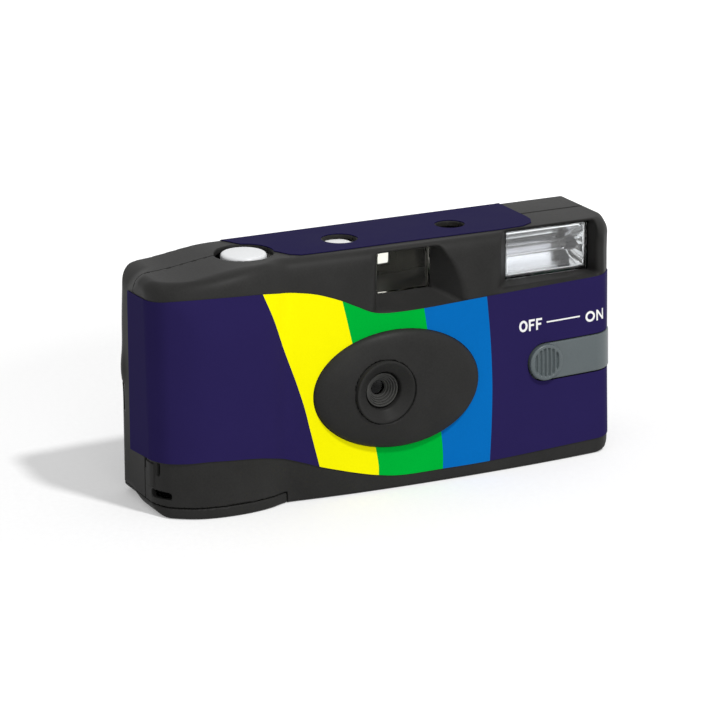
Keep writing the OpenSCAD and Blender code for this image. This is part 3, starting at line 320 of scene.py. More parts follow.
# Meshes from fields
def slope(field, p, h=0.04):
    """Gradient of a field at the points p."""
    total = np.zeros_like(p)
    for k in ((1, -1, -1), (-1, -1, 1), (-1, 1, -1), (1, 1, 1)):
        k = np.array(k, float)
        q = p + h * k
        total += k * field(q[:, 0], q[:, 1], q[:, 2])[:, None]
    return total / (4.0 * h)


def settle(field, p, reach, rounds=3):
    """Points moved onto the field's zero surface, by at most reach in a round."""
    for _ in range(rounds):
        g = slope(field, p)
        f = field(p[:, 0], p[:, 1], p[:, 2])
        move = g * (f / np.maximum((g * g).sum(1), 0.1))[:, None]
        length = np.linalg.norm(move, axis=1)
        p = p - move * np.minimum(1.0, reach / np.maximum(length, 1e-9))[:, None]
    return p


def net(field, low, high, step):
    """Quads along the zero surface, with one corner in each grid cell that it crosses."""
    low = np.array(low, float)
    count = np.ceil((np.array(high, float) - low) / step).astype(int) + 1
    grid = np.meshgrid(*[low[a] + step * np.arange(count[a]) for a in range(3)], indexing="ij")
    values = field(*grid)
    inside = values < 0.0
    total = np.zeros(count - 1, np.uint8)
    for a in (0, 1):
        for b in (0, 1):
            for c in (0, 1):
                total += inside[a:count[0] - 1 + a, b:count[1] - 1 + b, c:count[2] - 1 + c]
    active = (total > 0) & (total < 8)
    cells = np.argwhere(active)
    index = -np.ones(active.shape, int)
    index[active] = np.arange(len(cells))
    summed = np.zeros((len(cells), 3))
    crossings = np.zeros(len(cells))
    quads = []
    for axis in range(3):
        u, v = (axis + 1) % 3, (axis + 2) % 3
        along = np.eye(3, dtype=int)[axis]
        for du in (0, 1):
            for dv in (0, 1):
                start = np.zeros(3, int)
                start[u], start[v] = du, dv
                a = values[tuple((cells + start).T)]
                b = values[tuple((cells + start + along).T)]
                cross = (a < 0.0) != (b < 0.0)
                t = np.where(cross, a / np.where(cross, a - b, 1.0), 0.0)
                summed[cross] += start + t[cross, None] * along
                crossings[cross] += 1.0
        near = [slice(None)] * 3
        far = [slice(None)] * 3
        near[axis], far[axis] = slice(None, -1), slice(1, None)
        edges = np.argwhere(inside[tuple(near)] != inside[tuple(far)])
        keep = (edges[:, u] > 0) & (edges[:, v] > 0)
        keep &= (edges[:, u] < count[u] - 1) & (edges[:, v] < count[v] - 1)
        edges = edges[keep]
        du, dv = np.eye(3, dtype=int)[u], np.eye(3, dtype=int)[v]
        ring = [index[tuple((edges - s).T)] for s in (0 * du, du, du + dv, dv)]
        ring = np.stack(ring, 1)
        leaving = inside[tuple(edges.T)]
        quads.append(np.where(leaving[:, None], ring, ring[:, ::-1]))
    points = low + step * (cells + summed / crossings[:, None])
    return settle(field, points, 0.5 * step), np.concatenate(quads)


def mesh_piece(name, points, faces, finishes, face_finish=None, normals=None):
    mesh = bpy.data.meshes.new(name)
    mesh.from_pydata((np.asarray(points, float) * MM).tolist(), [], [list(map(int, f)) for f in faces])
    for finish in finishes:
        mesh.materials.append(finish)
    if face_finish is not None:
        mesh.polygons.foreach_set("material_index", np.asarray(face_finish, np.int32))
    mesh.polygons.foreach_set("use_smooth", np.ones(len(mesh.polygons), bool))
    mesh.update()
    if normals is not None:
        mesh.normals_split_custom_set_from_vertices(np.asarray(normals, float).tolist())
    piece = bpy.data.objects.new(name, mesh)
    bpy.context.scene.collection.objects.link(piece)
    return piece


def stand_for(piece, on, slot, *nodes):
    """Put a piece on its body, in place of the CAD nodes named. The slot is not used."""
    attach(piece, on)
    if nodes:
        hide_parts(*nodes)


def field_piece(name, field, low, high, step, finish, keep=0.3):
    """Mesh of a field, thinned, settled again and shaded by the field's own slope."""
    points, quads = net(field, low, high, step)
    rough = mesh_piece(name + "_rough", points, quads, [])
    thin = rough.modifiers.new("thin", "DECIMATE")
    thin.ratio = keep
    thin.use_collapse_triangulate = True
    graph = bpy.context.evaluated_depsgraph_get()
    mesh = bpy.data.meshes.new_from_object(rough.evaluated_get(graph))
    count = len(mesh.vertices)
    points = np.empty(count * 3)
    mesh.vertices.foreach_get("co", points)
    points = settle(field, points.reshape(-1, 3) / MM, 0.25 * step, 2)
    normals = slope(field, points)
    normals /= np.maximum(np.linalg.norm(normals, axis=1), 1e-9)[:, None]
    corners = np.empty(len(mesh.loops), np.int32)
    mesh.loops.foreach_get("vertex_index", corners)
    faces = [corners[p.loop_start:p.loop_start + p.loop_total] for p in mesh.polygons]
    bpy.data.objects.remove(rough)
    bpy.data.meshes.remove(mesh)
    return mesh_piece(name, points, faces, [finish], normals=normals)


def turned(name, profile, centre, finish, turns=96, sharp=32.0, axis="y"):
    """Profile of (radius, place along the axis) turned about an axis through centre."""
    profile = np.asarray(profile, float)
    angle = np.arange(turns) * 2.0 * math.pi / turns
    points, faces = [], []
    for r, along in profile:
        for a in angle:
            u, v = r * math.cos(a), r * math.sin(a)
            if axis == "y":
                points.append((centre[0] + u, along, centre[1] + v))
            else:
                points.append((along, centre[0] + u, centre[1] + v))
    rows = len(profile)
    for i in range(rows - 1):
        for k in range(turns):
            a, b = i * turns + k, i * turns + (k + 1) % turns
            faces.append((a, b, b + turns, a + turns))
    piece = mesh_piece(name, points, faces, [finish])
    work = bmesh.new()
    work.from_mesh(piece.data)
    bmesh.ops.remove_doubles(work, verts=work.verts, dist=1e-7)
    bmesh.ops.recalc_face_normals(work, faces=work.faces)
    work.to_mesh(piece.data)
    work.free()
    piece.data.polygons.foreach_set("use_smooth", np.ones(len(piece.data.polygons), bool))
    piece.data.set_sharp_from_angle(angle=math.radians(sharp))
    return piece


# Thin printed sheets laid on the body
def curve_through(points, spacing=0.8):
    """Points along a smooth curve."""
    p = np.asarray(points, float)
    p = np.vstack([2.0 * p[0] - p[1], p, 2.0 * p[-1] - p[-2]])
    out = []
    for i in range(1, len(p) - 2):
        n = max(1, int(np.ceil(np.linalg.norm(p[i + 1] - p[i]) / spacing)))
        t = (np.arange(n) / n)[:, None]
        a, b, c, d = p[i - 1], p[i], p[i + 1], p[i + 2]
        out.append(0.5 * (2.0 * b + (c - a) * t + (2.0 * a - 5.0 * b + 4.0 * c - d) * t ** 2
                          + (3.0 * b - a - 3.0 * c + d) * t ** 3))
    return np.vstack(out + [p[-2:-1]])


def straight_through(points, spacing=0.8):
    """Points along straight lines."""
    p = np.asarray(points, float)
    out = []
    for a, b in zip(p[:-1], p[1:]):
        n = max(1, int(np.ceil(np.linalg.norm(b - a) / spacing)))
        out.append(a + (b - a) * (np.arange(n) / n)[:, None])
    return np.vstack(out + [p[-1:]])


def ring_points(x, y, a, b, n=96):
    t = np.arange(n) * 2.0 * math.pi / n
    return np.stack([x + a * np.cos(t), y + b * np.sin(t)], 1)


def within(points, polygon):
    """Which of the points lie inside a polygon."""
    x, y = points[:, 0], points[:, 1]
    hit = np.zeros(len(points), bool)
    a = np.asarray(polygon, float)
    for (x0, y0), (x1, y1) in zip(a, np.roll(a, -1, 0)):
        if y0 != y1:
            hit ^= ((y0 > y) != (y1 > y)) & (x < x0 + (y - y0) * (x1 - x0) / (y1 - y0))
    return hit


def cut_sheet(outline, holes=(), lines=(), spacing=(0.8, 2.5)):
    """Triangles of a flat sheet between its outline and holes, with lines as edges."""
    verts, edges = [], []
    for loop in (outline, *holes):
        start = len(verts)
        verts += [tuple(p) for p in loop]
        edges += [(start + i, start + (i + 1) % len(loop)) for i in range(len(loop))]
    for line in lines:
        start = len(verts)
        verts += [tuple(p) for p in line]
        edges += [(start + i, start + i + 1) for i in range(len(line) - 1)]
    low, high = np.min(outline, 0), np.max(outline, 0)
    u, v = np.meshgrid(np.arange(low[0], high[0], spacing[0]), np.arange(low[1], high[1], spacing[1]))
    fill = np.stack([u.ravel(), v.ravel()], 1)
    fill = fill[within(fill, outline)]
    verts += [tuple(p) for p in fill]
    made = delaunay_2d_cdt([Vector(v) for v in verts], edges, [], 0, 1e-4)
    flat = np.array([tuple(v) for v in made[0]])
    tris = np.array([f for f in made[2] if len(f) == 3])
    middle = flat[tris].mean(1)
    keep = within(middle, outline)
    for hole in holes:
        keep &= ~within(middle, hole)
    tris = tris[keep]
    used, tris = np.unique(tris, return_inverse=True)
    tris = tris.reshape(-1, 3)
    flat = flat[used]
    a, b, c = flat[tris[:, 0]], flat[tris[:, 1]], flat[tris[:, 2]]
    turn = (b[:, 0] - a[:, 0]) * (c[:, 1] - a[:, 1]) - (b[:, 1] - a[:, 1]) * (c[:, 0] - a[:, 0])
    tris[turn < 0.0] = tris[turn < 0.0][:, ::-1]
    return flat, tris


def lay_sheet(name, flat, tris, place, rise, finishes, face_finish, under=0.0):
    """Closed thin sheet: a top, an underside on the cover, and a rim between them."""
    top, normals = place(flat, rise)
    low, _ = place(flat, under)
    n = len(flat)
    pairs = np.concatenate([tris[:, [0, 1]], tris[:, [1, 2]], tris[:, [2, 0]]])
    owner = np.tile(np.arange(len(tris)), 3)
    back = {(b, a) for a, b in pairs.tolist()}
    rim = [i for i, (a, b) in enumerate(pairs.tolist()) if (a, b) not in back]
    faces = [tuple(t) for t in tris] + [tuple(t[::-1] + n) for t in tris]
    colours = list(face_finish) + list(face_finish)
    for i in rim:
        a, b = pairs[i]
        faces.append((b, a, a + n, b + n))
        colours.append(face_finish[owner[i]])
    piece = mesh_piece(name, np.vstack([top, low]), faces, finishes, colours)
    # Tops keep the body's own smooth normals and the rim stays crisp
    corner_normals = []
    for k, f in enumerate(faces):
        if k < len(tris):
            corner_normals += [tuple(normals[i]) for i in f]
        elif k < 2 * len(tris):
            corner_normals += [tuple(-normals[i - n]) for i in f]
        else:
            corner_normals += [(0.0, 0.0, 0.0)] * 4
    piece.data.normals_split_custom_set(corner_normals)
    return piece


def trace(start, pole, done, step=0.25):
    """Line on the labels' outer face, led round the pole from start until done, and its run."""
    p = np.array([start])
    across = int(np.argmax(np.abs(pole)))
    line = []
    while len(line) < 900:
        for _ in range(2):
            g = slope(body, p)
            g[:, across] = 0.0
            f = body(p[:, 0], p[:, 1], p[:, 2]) - LABEL_RISE
            p = p - g * (f / (g * g).sum(1))[:, None]
        line.append(p[0].copy())
        if done(p[0]):
            break
        g /= np.linalg.norm(g)
        p = p + step * np.cross(pole, g[0])
    line = np.array(line)
    run = np.concatenate([[0.0], np.cumsum(np.linalg.norm(np.diff(line, axis=0), axis=1))])
    return line, run


def lift_across(p, across, rise):
    """Points moved to a rise over the body, not along one axis, and the normals there."""
    for _ in range(6):
        g = slope(body, p)
        g[:, across] = 0.0
        f = body(p[:, 0], p[:, 1], p[:, 2]) - rise
        p = p - g * (f / np.maximum((g * g).sum(1), 0.05))[:, None]
    normals = slope(body, p)
    return p, normals / np.linalg.norm(normals, axis=1)[:, None]


# Girth: from the left end over the front to the right end
GIRTH, GIRTH_RUN = trace((-END_X - LABEL_RISE, 9.0, 25.0), (0.0, 0.0, 1.0),
                         lambda p: p[0] > 50.0 and p[1] > 9.0)
# Section: over the top from front to back and down the back
SECTION, SECTION_RUN = trace((5.0, -8.0, TOP_Z + LABEL_RISE), (-1.0, 0.0, 0.0), lambda p: p[2] < 5.0)


def run_at(x, y=None):
    """Distance along the girth of the point nearest to x (and y, at the ends)."""
    if y is None:
        return float(np.interp(x, GIRTH[:, 0], GIRTH_RUN))
    return float(GIRTH_RUN[np.argmin(np.hypot(GIRTH[:, 0] - x, GIRTH[:, 1] - y))])


def on_girth(flat, rise):
    p = np.stack([np.interp(flat[:, 0], GIRTH_RUN, GIRTH[:, 0]),
                  np.interp(flat[:, 0], GIRTH_RUN, GIRTH[:, 1]), flat[:, 1]], 1)
    return lift_across(p, 2, rise)


def over_at(y=None, z=None):
    """Distance along the section of a point on the top (y) or on the back (z)."""
    if z is None:
        part = SECTION[:, 2] > 50.0
        return float(np.interp(y, SECTION[part, 1], SECTION_RUN[part]))
    part = SECTION[:, 1] > 14.0
    return float(np.interp(-z, -SECTION[part, 2], SECTION_RUN[part]))


def on_section(flat, rise):
    p = np.stack([flat[:, 0], np.interp(flat[:, 1], SECTION_RUN, SECTION[:, 1]),
                  np.interp(flat[:, 1], SECTION_RUN, SECTION[:, 2])], 1)
    return lift_across(p, 0, rise)


# Shared surface effects as node groups
def new_group(name, inputs, outputs):
    tree = bpy.data.node_groups.new(name, "ShaderNodeTree")
    for label, kind, value in inputs:
        socket = tree.interface.new_socket(name=label, in_out="INPUT", socket_type=kind)
        socket.default_value = value
    for label, kind in outputs:
        tree.interface.new_socket(name=label, in_out="OUTPUT", socket_type=kind)
    return tree, tree.nodes.new("NodeGroupInput"), tree.nodes.new("NodeGroupOutput")


def add(tree, kind, inputs=(), **settings):
    node = tree.nodes.new(kind)
    for label, value in settings.items():
        setattr(node, label, value)
    for label, value in dict(inputs).items():
        if isinstance(value, bpy.types.NodeSocket):
            tree.links.new(value, node.inputs[label])
        else:
            node.inputs[label].default_value = value
    return node


def noise(tree, place, scale, detail=3.0, rough=0.5):
    node = add(tree, "ShaderNodeTexNoise", {"Vector": place, "Scale": scale, "Detail": detail,
                                           "Roughness": rough})
    return node.outputs["Fac"]


def spread(tree, value, low, high):
    node = add(tree, "ShaderNodeMapRange", {"Value": value, "From Min": 0.3, "From Max": 0.7,
                                            "To Min": low, "To Max": high})
    return node.outputs["Result"]


def tint(tree, colour, factor):
    node = add(tree, "ShaderNodeVectorMath", {0: colour, "Scale": factor}, operation="SCALE")
    return node.outputs["Vector"]


def sum_of(tree, a, b):
    return add(tree, "ShaderNodeMath", {0: a, 1: b}, operation="ADD").outputs["Value"]


def product(tree, a, b):
    return add(tree, "ShaderNodeMath", {0: a, 1: b}, operation="MULTIPLY").outputs["Value"]


FLOAT, COLOUR = "NodeSocketFloat", "NodeSocketColor"
SURFACE = [("Colour", COLOUR), ("Roughness", FLOAT), ("Height", FLOAT)]


def moulded_skin_group():
    tree, given, out = new_group("moulded_skin", [
        ("Colour", COLOUR, (0.03, 0.03, 0.03, 1.0)), ("Roughness", FLOAT, 0.4), ("Grain size", FLOAT, 2600.0),
        ("Mottle", FLOAT, 0.12), ("Gloss spread", FLOAT, 0.08)], SURFACE)
    place = add(tree, "ShaderNodeTexCoord").outputs["Object"]
    fine = noise(tree, place, given.outputs["Grain size"], 2.0, 0.6)
    broad = noise(tree, place, 55.0, 4.0, 0.6)
    handled = noise(tree, place, 16.0, 2.0, 0.5)
    shade = sum_of(tree, 1.0, product(tree, given.outputs["Mottle"], spread(tree, broad, -1.0, 1.0)))
    shade = sum_of(tree, shade, product(tree, given.outputs["Mottle"], spread(tree, fine, -0.5, 0.5)))
    gloss = product(tree, given.outputs["Gloss spread"], sum_of(tree, spread(tree, handled, -1.0, 1.0),
                                                               spread(tree, fine, -0.5, 0.5)))
    tree.links.new(tint(tree, given.outputs["Colour"], shade), out.inputs["Colour"])
    tree.links.new(sum_of(tree, given.outputs["Roughness"], gloss), out.inputs["Roughness"])
    tree.links.new(fine, out.inputs["Height"])
    return tree


def printed_film_group():
    tree, given, out = new_group("printed_film", [
        ("Colour", COLOUR, (0.5, 0.5, 0.5, 1.0)), ("Roughness", FLOAT, 0.3), ("Ink speckle", FLOAT, 0.06),
        ("Ripple", FLOAT, 1.0)], SURFACE)
    place = add(tree, "ShaderNodeTexCoord").outputs["Object"]
    dots = noise(tree, place, 3800.0, 1.0, 0.5)
    rubbed = noise(tree, place, 34.0, 5.0, 0.65)
    wave = noise(tree, place, 120.0, 1.0, 0.4)
    flaws = sum_of(tree, spread(tree, dots, -0.5, 0.5), spread(tree, rubbed, -0.7, 0.7))
    shade = sum_of(tree, 1.0, product(tree, given.outputs["Ink speckle"], flaws))
    tree.links.new(tint(tree, given.outputs["Colour"], shade), out.inputs["Colour"])
    rough = sum_of(tree, given.outputs["Roughness"], spread(tree, rubbed, -0.05, 0.07))
    tree.links.new(rough, out.inputs["Roughness"])
    tree.links.new(product(tree, given.outputs["Ripple"], wave), out.inputs["Height"])
    return tree


def drawn_metal_group():
    tree, given, out = new_group("drawn_metal", [
        ("Colour", COLOUR, (0.8, 0.8, 0.8, 1.0)), ("Roughness", FLOAT, 0.25), ("Line size", FLOAT, 900.0),
        ("Tarnish", FLOAT, 0.15)], SURFACE)
    place = add(tree, "ShaderNodeTexCoord").outputs["Object"]
    drawn = add(tree, "ShaderNodeMapping", {"Vector": place, "Scale": (0.06, 1.0, 1.0)}).outputs["Vector"]
    lines = noise(tree, drawn, given.outputs["Line size"], 3.0, 0.6)
    cloud = noise(tree, place, 90.0, 4.0, 0.6)
    shade = sum_of(tree, 1.0, product(tree, given.outputs["Tarnish"], spread(tree, cloud, -1.0, 0.4)))
    rough = sum_of(tree, given.outputs["Roughness"], spread(tree, lines, -0.05, 0.08))
    tree.links.new(tint(tree, given.outputs["Colour"], shade), out.inputs["Colour"])
    tree.links.new(rough, out.inputs["Roughness"])
    tree.links.new(lines, out.inputs["Height"])
    return tree


def clear_moulding_group():
    tree, given, out = new_group("clear_moulding", [
        ("Colour", COLOUR, (0.97, 0.97, 0.97, 1.0)), ("Roughness", FLOAT, 0.0),
        ("Smudge", FLOAT, 0.012)], SURFACE)
    place = add(tree, "ShaderNodeTexCoord").outputs["Object"]
    wiped = noise(tree, place, 140.0, 4.0, 0.6)
    ripple = noise(tree, place, 260.0, 1.0, 0.4)
    shade = spread(tree, wiped, 0.985, 1.0)
    tree.links.new(tint(tree, given.outputs["Colour"], shade), out.inputs["Colour"])
    tree.links.new(sum_of(tree, given.outputs["Roughness"], product(
        tree, given.outputs["Smudge"], spread(tree, wiped, 0.0, 1.0))), out.inputs["Roughness"])
    tree.links.new(ripple, out.inputs["Height"])
    return tree


MOULDED = moulded_skin_group()
PRINTED = printed_film_group()
DRAWN = drawn_metal_group()
CLEAR = clear_moulding_group()
BUMP_DEPTH = 0.05 * MM
PRINT_SHINE = 0.003
ACRYLIC_IOR, GLASS_IOR = 1.49, 1.47
FINISHES = {}


def finish(name, effect, given, bump=0.0, **sockets):
    """Material with one of the shared surface effects."""
    material = bpy.data.materials.new(name)
    material.use_nodes = True
    tree = material.node_tree
    shader = tree.nodes["Principled BSDF"]
    for label, value in sockets.items():
        shader.inputs[label.replace("_", " ")].default_value = value
    node = add(tree, "ShaderNodeGroup", node_tree=effect)
    for label, value in given.items():
        node.inputs[label].default_value = (*value, 1.0) if isinstance(value, tuple) else value
    tree.links.new(node.outputs["Colour"], shader.inputs["Base Color"])
    tree.links.new(node.outputs["Roughness"], shader.inputs["Roughness"])
    if bump:
        relief = add(tree, "ShaderNodeBump", {"Strength": bump, "Distance": BUMP_DEPTH,
                                              "Height": node.outputs["Height"]})
        tree.links.new(relief.outputs["Normal"], shader.inputs["Normal"])
    FINISHES[name] = material
    return material


def ink(name, colour, roughness=0.34, speckle=0.06, bump=0.06):
    """Print on the labels, with next to no shine."""
    return finish(name, PRINTED, {"Colour": colour, "Roughness": roughness, "Ink speckle": speckle}, bump,
                  Specular_IOR_Level=PRINT_SHINE)


black_plastic = finish("black_plastic", MOULDED, {"Colour": (0.0245, 0.0242, 0.0234), "Roughness": 0.45,
                                                  "Grain size": 2400.0, "Mottle": 0.15}, 0.25,
                       Specular_IOR_Level=0.06)
lens_ring_plastic = finish("lens_ring_plastic", MOULDED, {"Colour": (0.06, 0.06, 0.057), "Roughness": 0.42,
                                                          "Grain size": 2000.0, "Mottle": 0.15}, 0.2,
                           Specular_IOR_Level=0.12)
finish("inner_plastic", MOULDED, {"Colour": (0.010, 0.010, 0.011), "Roughness": 0.5, "Grain size": 1800.0,
                                  "Mottle": 0.2}, 0.2, Specular_IOR_Level=0.2)
grey_plastic = finish("grey_plastic", MOULDED, {"Colour": (0.085, 0.104, 0.109), "Roughness": 0.38,
                                                "Grain size": 2600.0, "Mottle": 0.08}, 0.2,
                      Specular_IOR_Level=0.4)
finish("pale_plastic", MOULDED, {"Colour": (0.62, 0.61, 0.57), "Roughness": 0.45, "Mottle": 0.05}, 0.15)
button_plastic = finish("button_plastic", MOULDED, {"Colour": (0.75, 0.76, 0.77), "Roughness": 0.34,
                                                    "Grain size": 3000.0, "Mottle": 0.04}, 0.15)
finish("dark_sleeve", MOULDED, {"Colour": (0.02, 0.022, 0.03), "Roughness": 0.3, "Mottle": 0.2}, 0.1)
finish("board_laminate", PRINTED, {"Colour": (0.30, 0.19, 0.075), "Roughness": 0.5,
                                   "Ink speckle": 0.25}, 0.2)
finish("film_base", PRINTED, {"Colour": (0.16, 0.075, 0.045), "Roughness": 0.2, "Ink speckle": 0.12}, 0.1)
finish("cell_jacket", PRINTED, {"Colour": (0.045, 0.17, 0.10), "Roughness": 0.3, "Ink speckle": 0.1}, 0.1)
finish("cassette_metal", PRINTED, {"Colour": (0.06, 0.062, 0.066), "Roughness": 0.3,
                                   "Ink speckle": 0.12}, 0.1)
finish("spring_steel", DRAWN, {"Colour": (0.56, 0.57, 0.58), "Roughness": 0.25}, 0.1, Metallic=1.0)
finish("contact_brass", DRAWN, {"Colour": (0.78, 0.60, 0.30), "Roughness": 0.28}, 0.1, Metallic=1.0)
finish("copper_winding", DRAWN, {"Colour": (0.70, 0.33, 0.16), "Roughness": 0.32,
                                 "Line size": 3000.0}, 0.3, Metallic=1.0)
reflector_metal = finish("reflector_metal", DRAWN, {"Colour": (0.90, 0.91, 0.92), "Roughness": 0.1,
                                                    "Tarnish": 0.05}, 0.05, Metallic=1.0)
navy_print = ink("navy_print", (0.0212, 0.0152, 0.0782))
# The same navy ink, darkened for the top label: painted shade that keeps the more brightly lit top as dark as
# the front
navy_print_painted_shade = ink("navy_print_painted_shade", (0.0125, 0.0095, 0.053))
yellow_print = ink("yellow_print", (0.925, 0.875, 0.002), speckle=0.03)
green_print = ink("green_print", (0.0, 0.413, 0.038))
blue_print = ink("blue_print", (0.0024, 0.138, 0.456))
white_print = ink("white_print", (0.85, 0.85, 0.84), 0.36, 0.03, 0.04)
electrode_metal = finish("electrode_metal", DRAWN, {"Colour": (0.035, 0.035, 0.04), "Roughness": 0.35}, 0.1,
                         Metallic=1.0)
finder_plastic = finish("finder_plastic", CLEAR, {"Colour": (0.90, 0.89, 0.80)}, Transmission_Weight=1.0,
                        IOR=ACRYLIC_IOR, Specular_Tint=(0.2, 0.2, 0.18, 1.0))
blackened_steel = finish("blackened_steel", DRAWN, {"Colour": (0.02, 0.02, 0.022), "Roughness": 0.5}, 0.1,
                         Metallic=1.0)
clear_plastic = finish("clear_plastic", CLEAR, {"Colour": (0.98, 0.99, 0.99)}, Transmission_Weight=1.0,
                       IOR=ACRYLIC_IOR)
flash_glass = finish("flash_glass", CLEAR, {"Colour": (0.95, 0.95, 0.97)}, Transmission_Weight=1.0,
                     IOR=GLASS_IOR)
finish("lamp_glass", CLEAR, {"Colour": (0.95, 0.55, 0.30), "Roughness": 0.05}, Transmission_Weight=0.6,
       IOR=GLASS_IOR)
# Clear lens glass tinted nearly black, with its reflections dimmed: painted shade of the unlit inside of the
# camera
lens_glass = finish("lens_glass", CLEAR, {"Colour": (0.05, 0.05, 0.06)}, Transmission_Weight=1.0,
                    IOR=ACRYLIC_IOR, Specular_Tint=(0.25, 0.25, 0.25, 1.0))

# CAD nodes that stay keep their shape and get the finish with their slot's name
FINISHES["label_print"] = navy_print
for part in frame["record"]["subparts"]:
    mesh = NODES[part["node"]].data
    mesh.materials.clear()
    mesh.materials.append(FINISHES[part["material_slot"]])
NODES["shutter_blade"].data.materials[0] = blackened_steel

# Moulded covers and door
GRID = 0.43
stand_for(field_piece("front_cover_moulding", front_cover, (-60.5, -17.5, -1.2), (60.5, 6.0, 58.5), GRID,
                      black_plastic), "body", "black_plastic", "front_cover")
stand_for(field_piece("rear_cover_moulding", rear_cover, (-60.9, -0.9, -1.2), (60.5, 17.0, 58.5), GRID,
                      black_plastic), "body", "black_plastic", "rear_cover")
stand_for(field_piece("film_door_moulding", film_door, (-60.5, -16.5, -1.2), (-27.5, 17.0, 3.9), GRID,
                      black_plastic), "door", "black_plastic", "film_door")

# Switch and button
stand_for(field_piece("flash_switch_slider", flash_switch, (33.0, -16.0, 17.9), (60.6, -2.0, 31.3), 0.24,
                      grey_plastic, 0.5), "slider", "grey_plastic", "flash_switch")
stand_for(field_piece("shutter_button_cap", shutter_button, (-39.0, -3.8, 45.2), (-23.0, 10.0, 57.9), 0.26,
                      button_plastic, 0.5), "button", "button_plastic", "shutter_button")

# Flash window, reflector and tube
stand_for(field_piece("flash_window_plate", flash_window, (31.2, -5.8, 43.5), (54.8, -2.9, 56.3), 0.3,
                      clear_plastic, 0.5), "body", "clear_plastic", "flash_window")
stand_for(field_piece("flash_reflector_trough", flash_reflector, (31.8, -4.0, 44.0), (54.2, 2.5, 55.7), 0.2,
                      reflector_metal, 0.6), "body", "reflector_metal", "flash_reflector")
tube = turned("flash_tube_glass", [
    (1.05, 31.3), (1.3, 31.1), (1.5, 31.3), (1.5, 49.5), (1.52, 49.6), (1.52, 54.7), (1.3, 54.9),
    (1.05, 54.7), (1.05, 49.6), (1.05, 49.5), (1.05, 31.3)], (TUBE_Y, TUBE_Z), flash_glass, 48, axis="x")
tube.data.materials.append(electrode_metal)
for face in tube.data.polygons:
    face.material_index = int(face.center.x > ELECTRODE_X * MM)
stand_for(tube, "body", "flash_glass", "flash_tube")

# Finder front lens and counter dial
stand_for(field_piece("finder_front_plate", finder_front_lens, (-2.6, -5.3, 44.4), (12.5, -2.8, 55.5), 0.25,
                      finder_plastic, 0.5), "body", "clear_plastic", "viewfinder_front_lens")
stand_for(field_piece("counter_dial_wheel", counter_dial, (-22.5, -5.9, 53.3), (-3.5, 13.1, 56.2), 0.22,
                      white_print, 0.5), "dial", "pale_plastic", "counter_dial")

# Front label: its two wavy edges, colour bands, and room for the oval and the switch
label_top_ends = [(-LABEL_END, LABEL_BACK, 50.14), (-LABEL_END, 3.0, 50.25), (-LABEL_END, -0.65, 50.38),
                  (-58.5, -4.8, 50.56)]
label_top_front = [(-55.8, 51.2), (-51.2, 51.5), (-43.3, 51.47), (-34.1, 50.91), (-25.8, 49.5),
                   (-20.8, 48.65), (-17.2, 47.57), (-13.8, 46.27), (-10.2, 44.57), (-6.5, 42.86),
                   (-3.3, 42.25), (0.5, 42.15), (6.6, 42.23), (23.1, 42.94), (37.6, 43.3), (52.0, 43.45)]
label_low_ends = [(-LABEL_END, LABEL_BACK, 12.2), (-LABEL_END, 3.0, 12.55), (-LABEL_END, -0.2, 12.85),
                  (-58.9, -4.3, 13.0)]
label_low_front = [(-53.8, 13.4), (-49.0, 13.78), (-43.7, 13.56), (-38.7, 13.17), (-34.5, 12.48),
                   (-29.5, 11.03), (-23.6, 9.06), (-20.2, 7.84), (-15.8, 6.51), (-10.9, 5.13),
                   (-5.8, 3.94), (0.4, 3.1), (10.6, 3.06), (23.4, 3.06), (43.2, 3.6), (54.0, 3.8)]
top_edge = curve_through([(run_at(x, y), z) for x, y, z in label_top_ends]
                         + [(run_at(x), z) for x, z in label_top_front]
                         + [(run_at(LABEL_END, -4.0), 43.5), (run_at(LABEL_END, LABEL_BACK), 43.5)])
low_edge = curve_through([(run_at(x, y), z) for x, y, z in label_low_ends]
                         + [(run_at(x), z) for x, z in label_low_front]
                         + [(run_at(LABEL_END, -4.0), 3.9), (run_at(LABEL_END, LABEL_BACK), 3.9)])
left_edge = straight_through([low_edge[0], top_edge[0]], 2.0)[1:-1]
right_edge = straight_through([top_edge[-1], low_edge[-1]], 2.0)[1:-1]
label_outline = np.vstack([top_edge, right_edge, low_edge[::-1], left_edge])
BANDS = [
    [(-34.3, 51.6), (-34.09, 50.91), (-28.56, 37.39), (-24.15, 24.19), (-22.2, 16.13),
     (-20.25, 7.84), (-20.1, 7.0)],
    [(-14.0, 47.0), (-13.81, 46.27), (-11.62, 36.25), (-6.2, 10.12), (-5.6, 3.94), (-5.5, 3.0)],
    [(6.55, 43.2), (6.64, 42.23), (7.31, 37.51), (10.65, 11.47), (10.95, 2.96), (11.0, 2.0)],
    [(23.1, 44.0), (23.14, 42.94), (23.93, 32.41), (24.26, 21.68), (23.96, 11.69),
     (23.42, 3.06), (23.35, 2.2)],
]
bands = [curve_through([(run_at(x), z) for x, z in line]) for line in BANDS]
# Room round the oval, and half sizes of the hole for the switch
OVAL_GAP = 0.12
SLOT_CUT_A, SLOT_CUT_B = 4.87, 4.72
oval_hole = ring_points(0.0, OVAL_Z, OVAL_A + OVAL_GAP, OVAL_B + OVAL_GAP, 128)
oval_hole[:, 0] = [run_at(OVAL_X + x) for x in oval_hole[:, 0]]
slot_end = run_at(LABEL_END, -2.5)
knob_end = [(run_at(KNOB_X - SLOT_CUT_A * math.sin(a)), SWITCH_Z - SLOT_CUT_B * math.cos(a))
            for a in np.linspace(0.0, math.pi, 33)]
slot_hole = straight_through([(slot_end, SWITCH_Z - SLOT_CUT_B)] + knob_end + [
    (slot_end, SWITCH_Z + SLOT_CUT_B), (slot_end, SWITCH_Z - SLOT_CUT_B)], 0.5)[:-1]
flat, tris = cut_sheet(label_outline, [oval_hole, slot_hole], bands)
middle = flat[tris].mean(1)
order = np.zeros(len(tris), int)
for line in bands:
    order += middle[:, 0] > np.interp(-middle[:, 1], -line[:, 1], line[:, 0])
band_finish = np.array([0, 1, 2, 3, 0])[order]
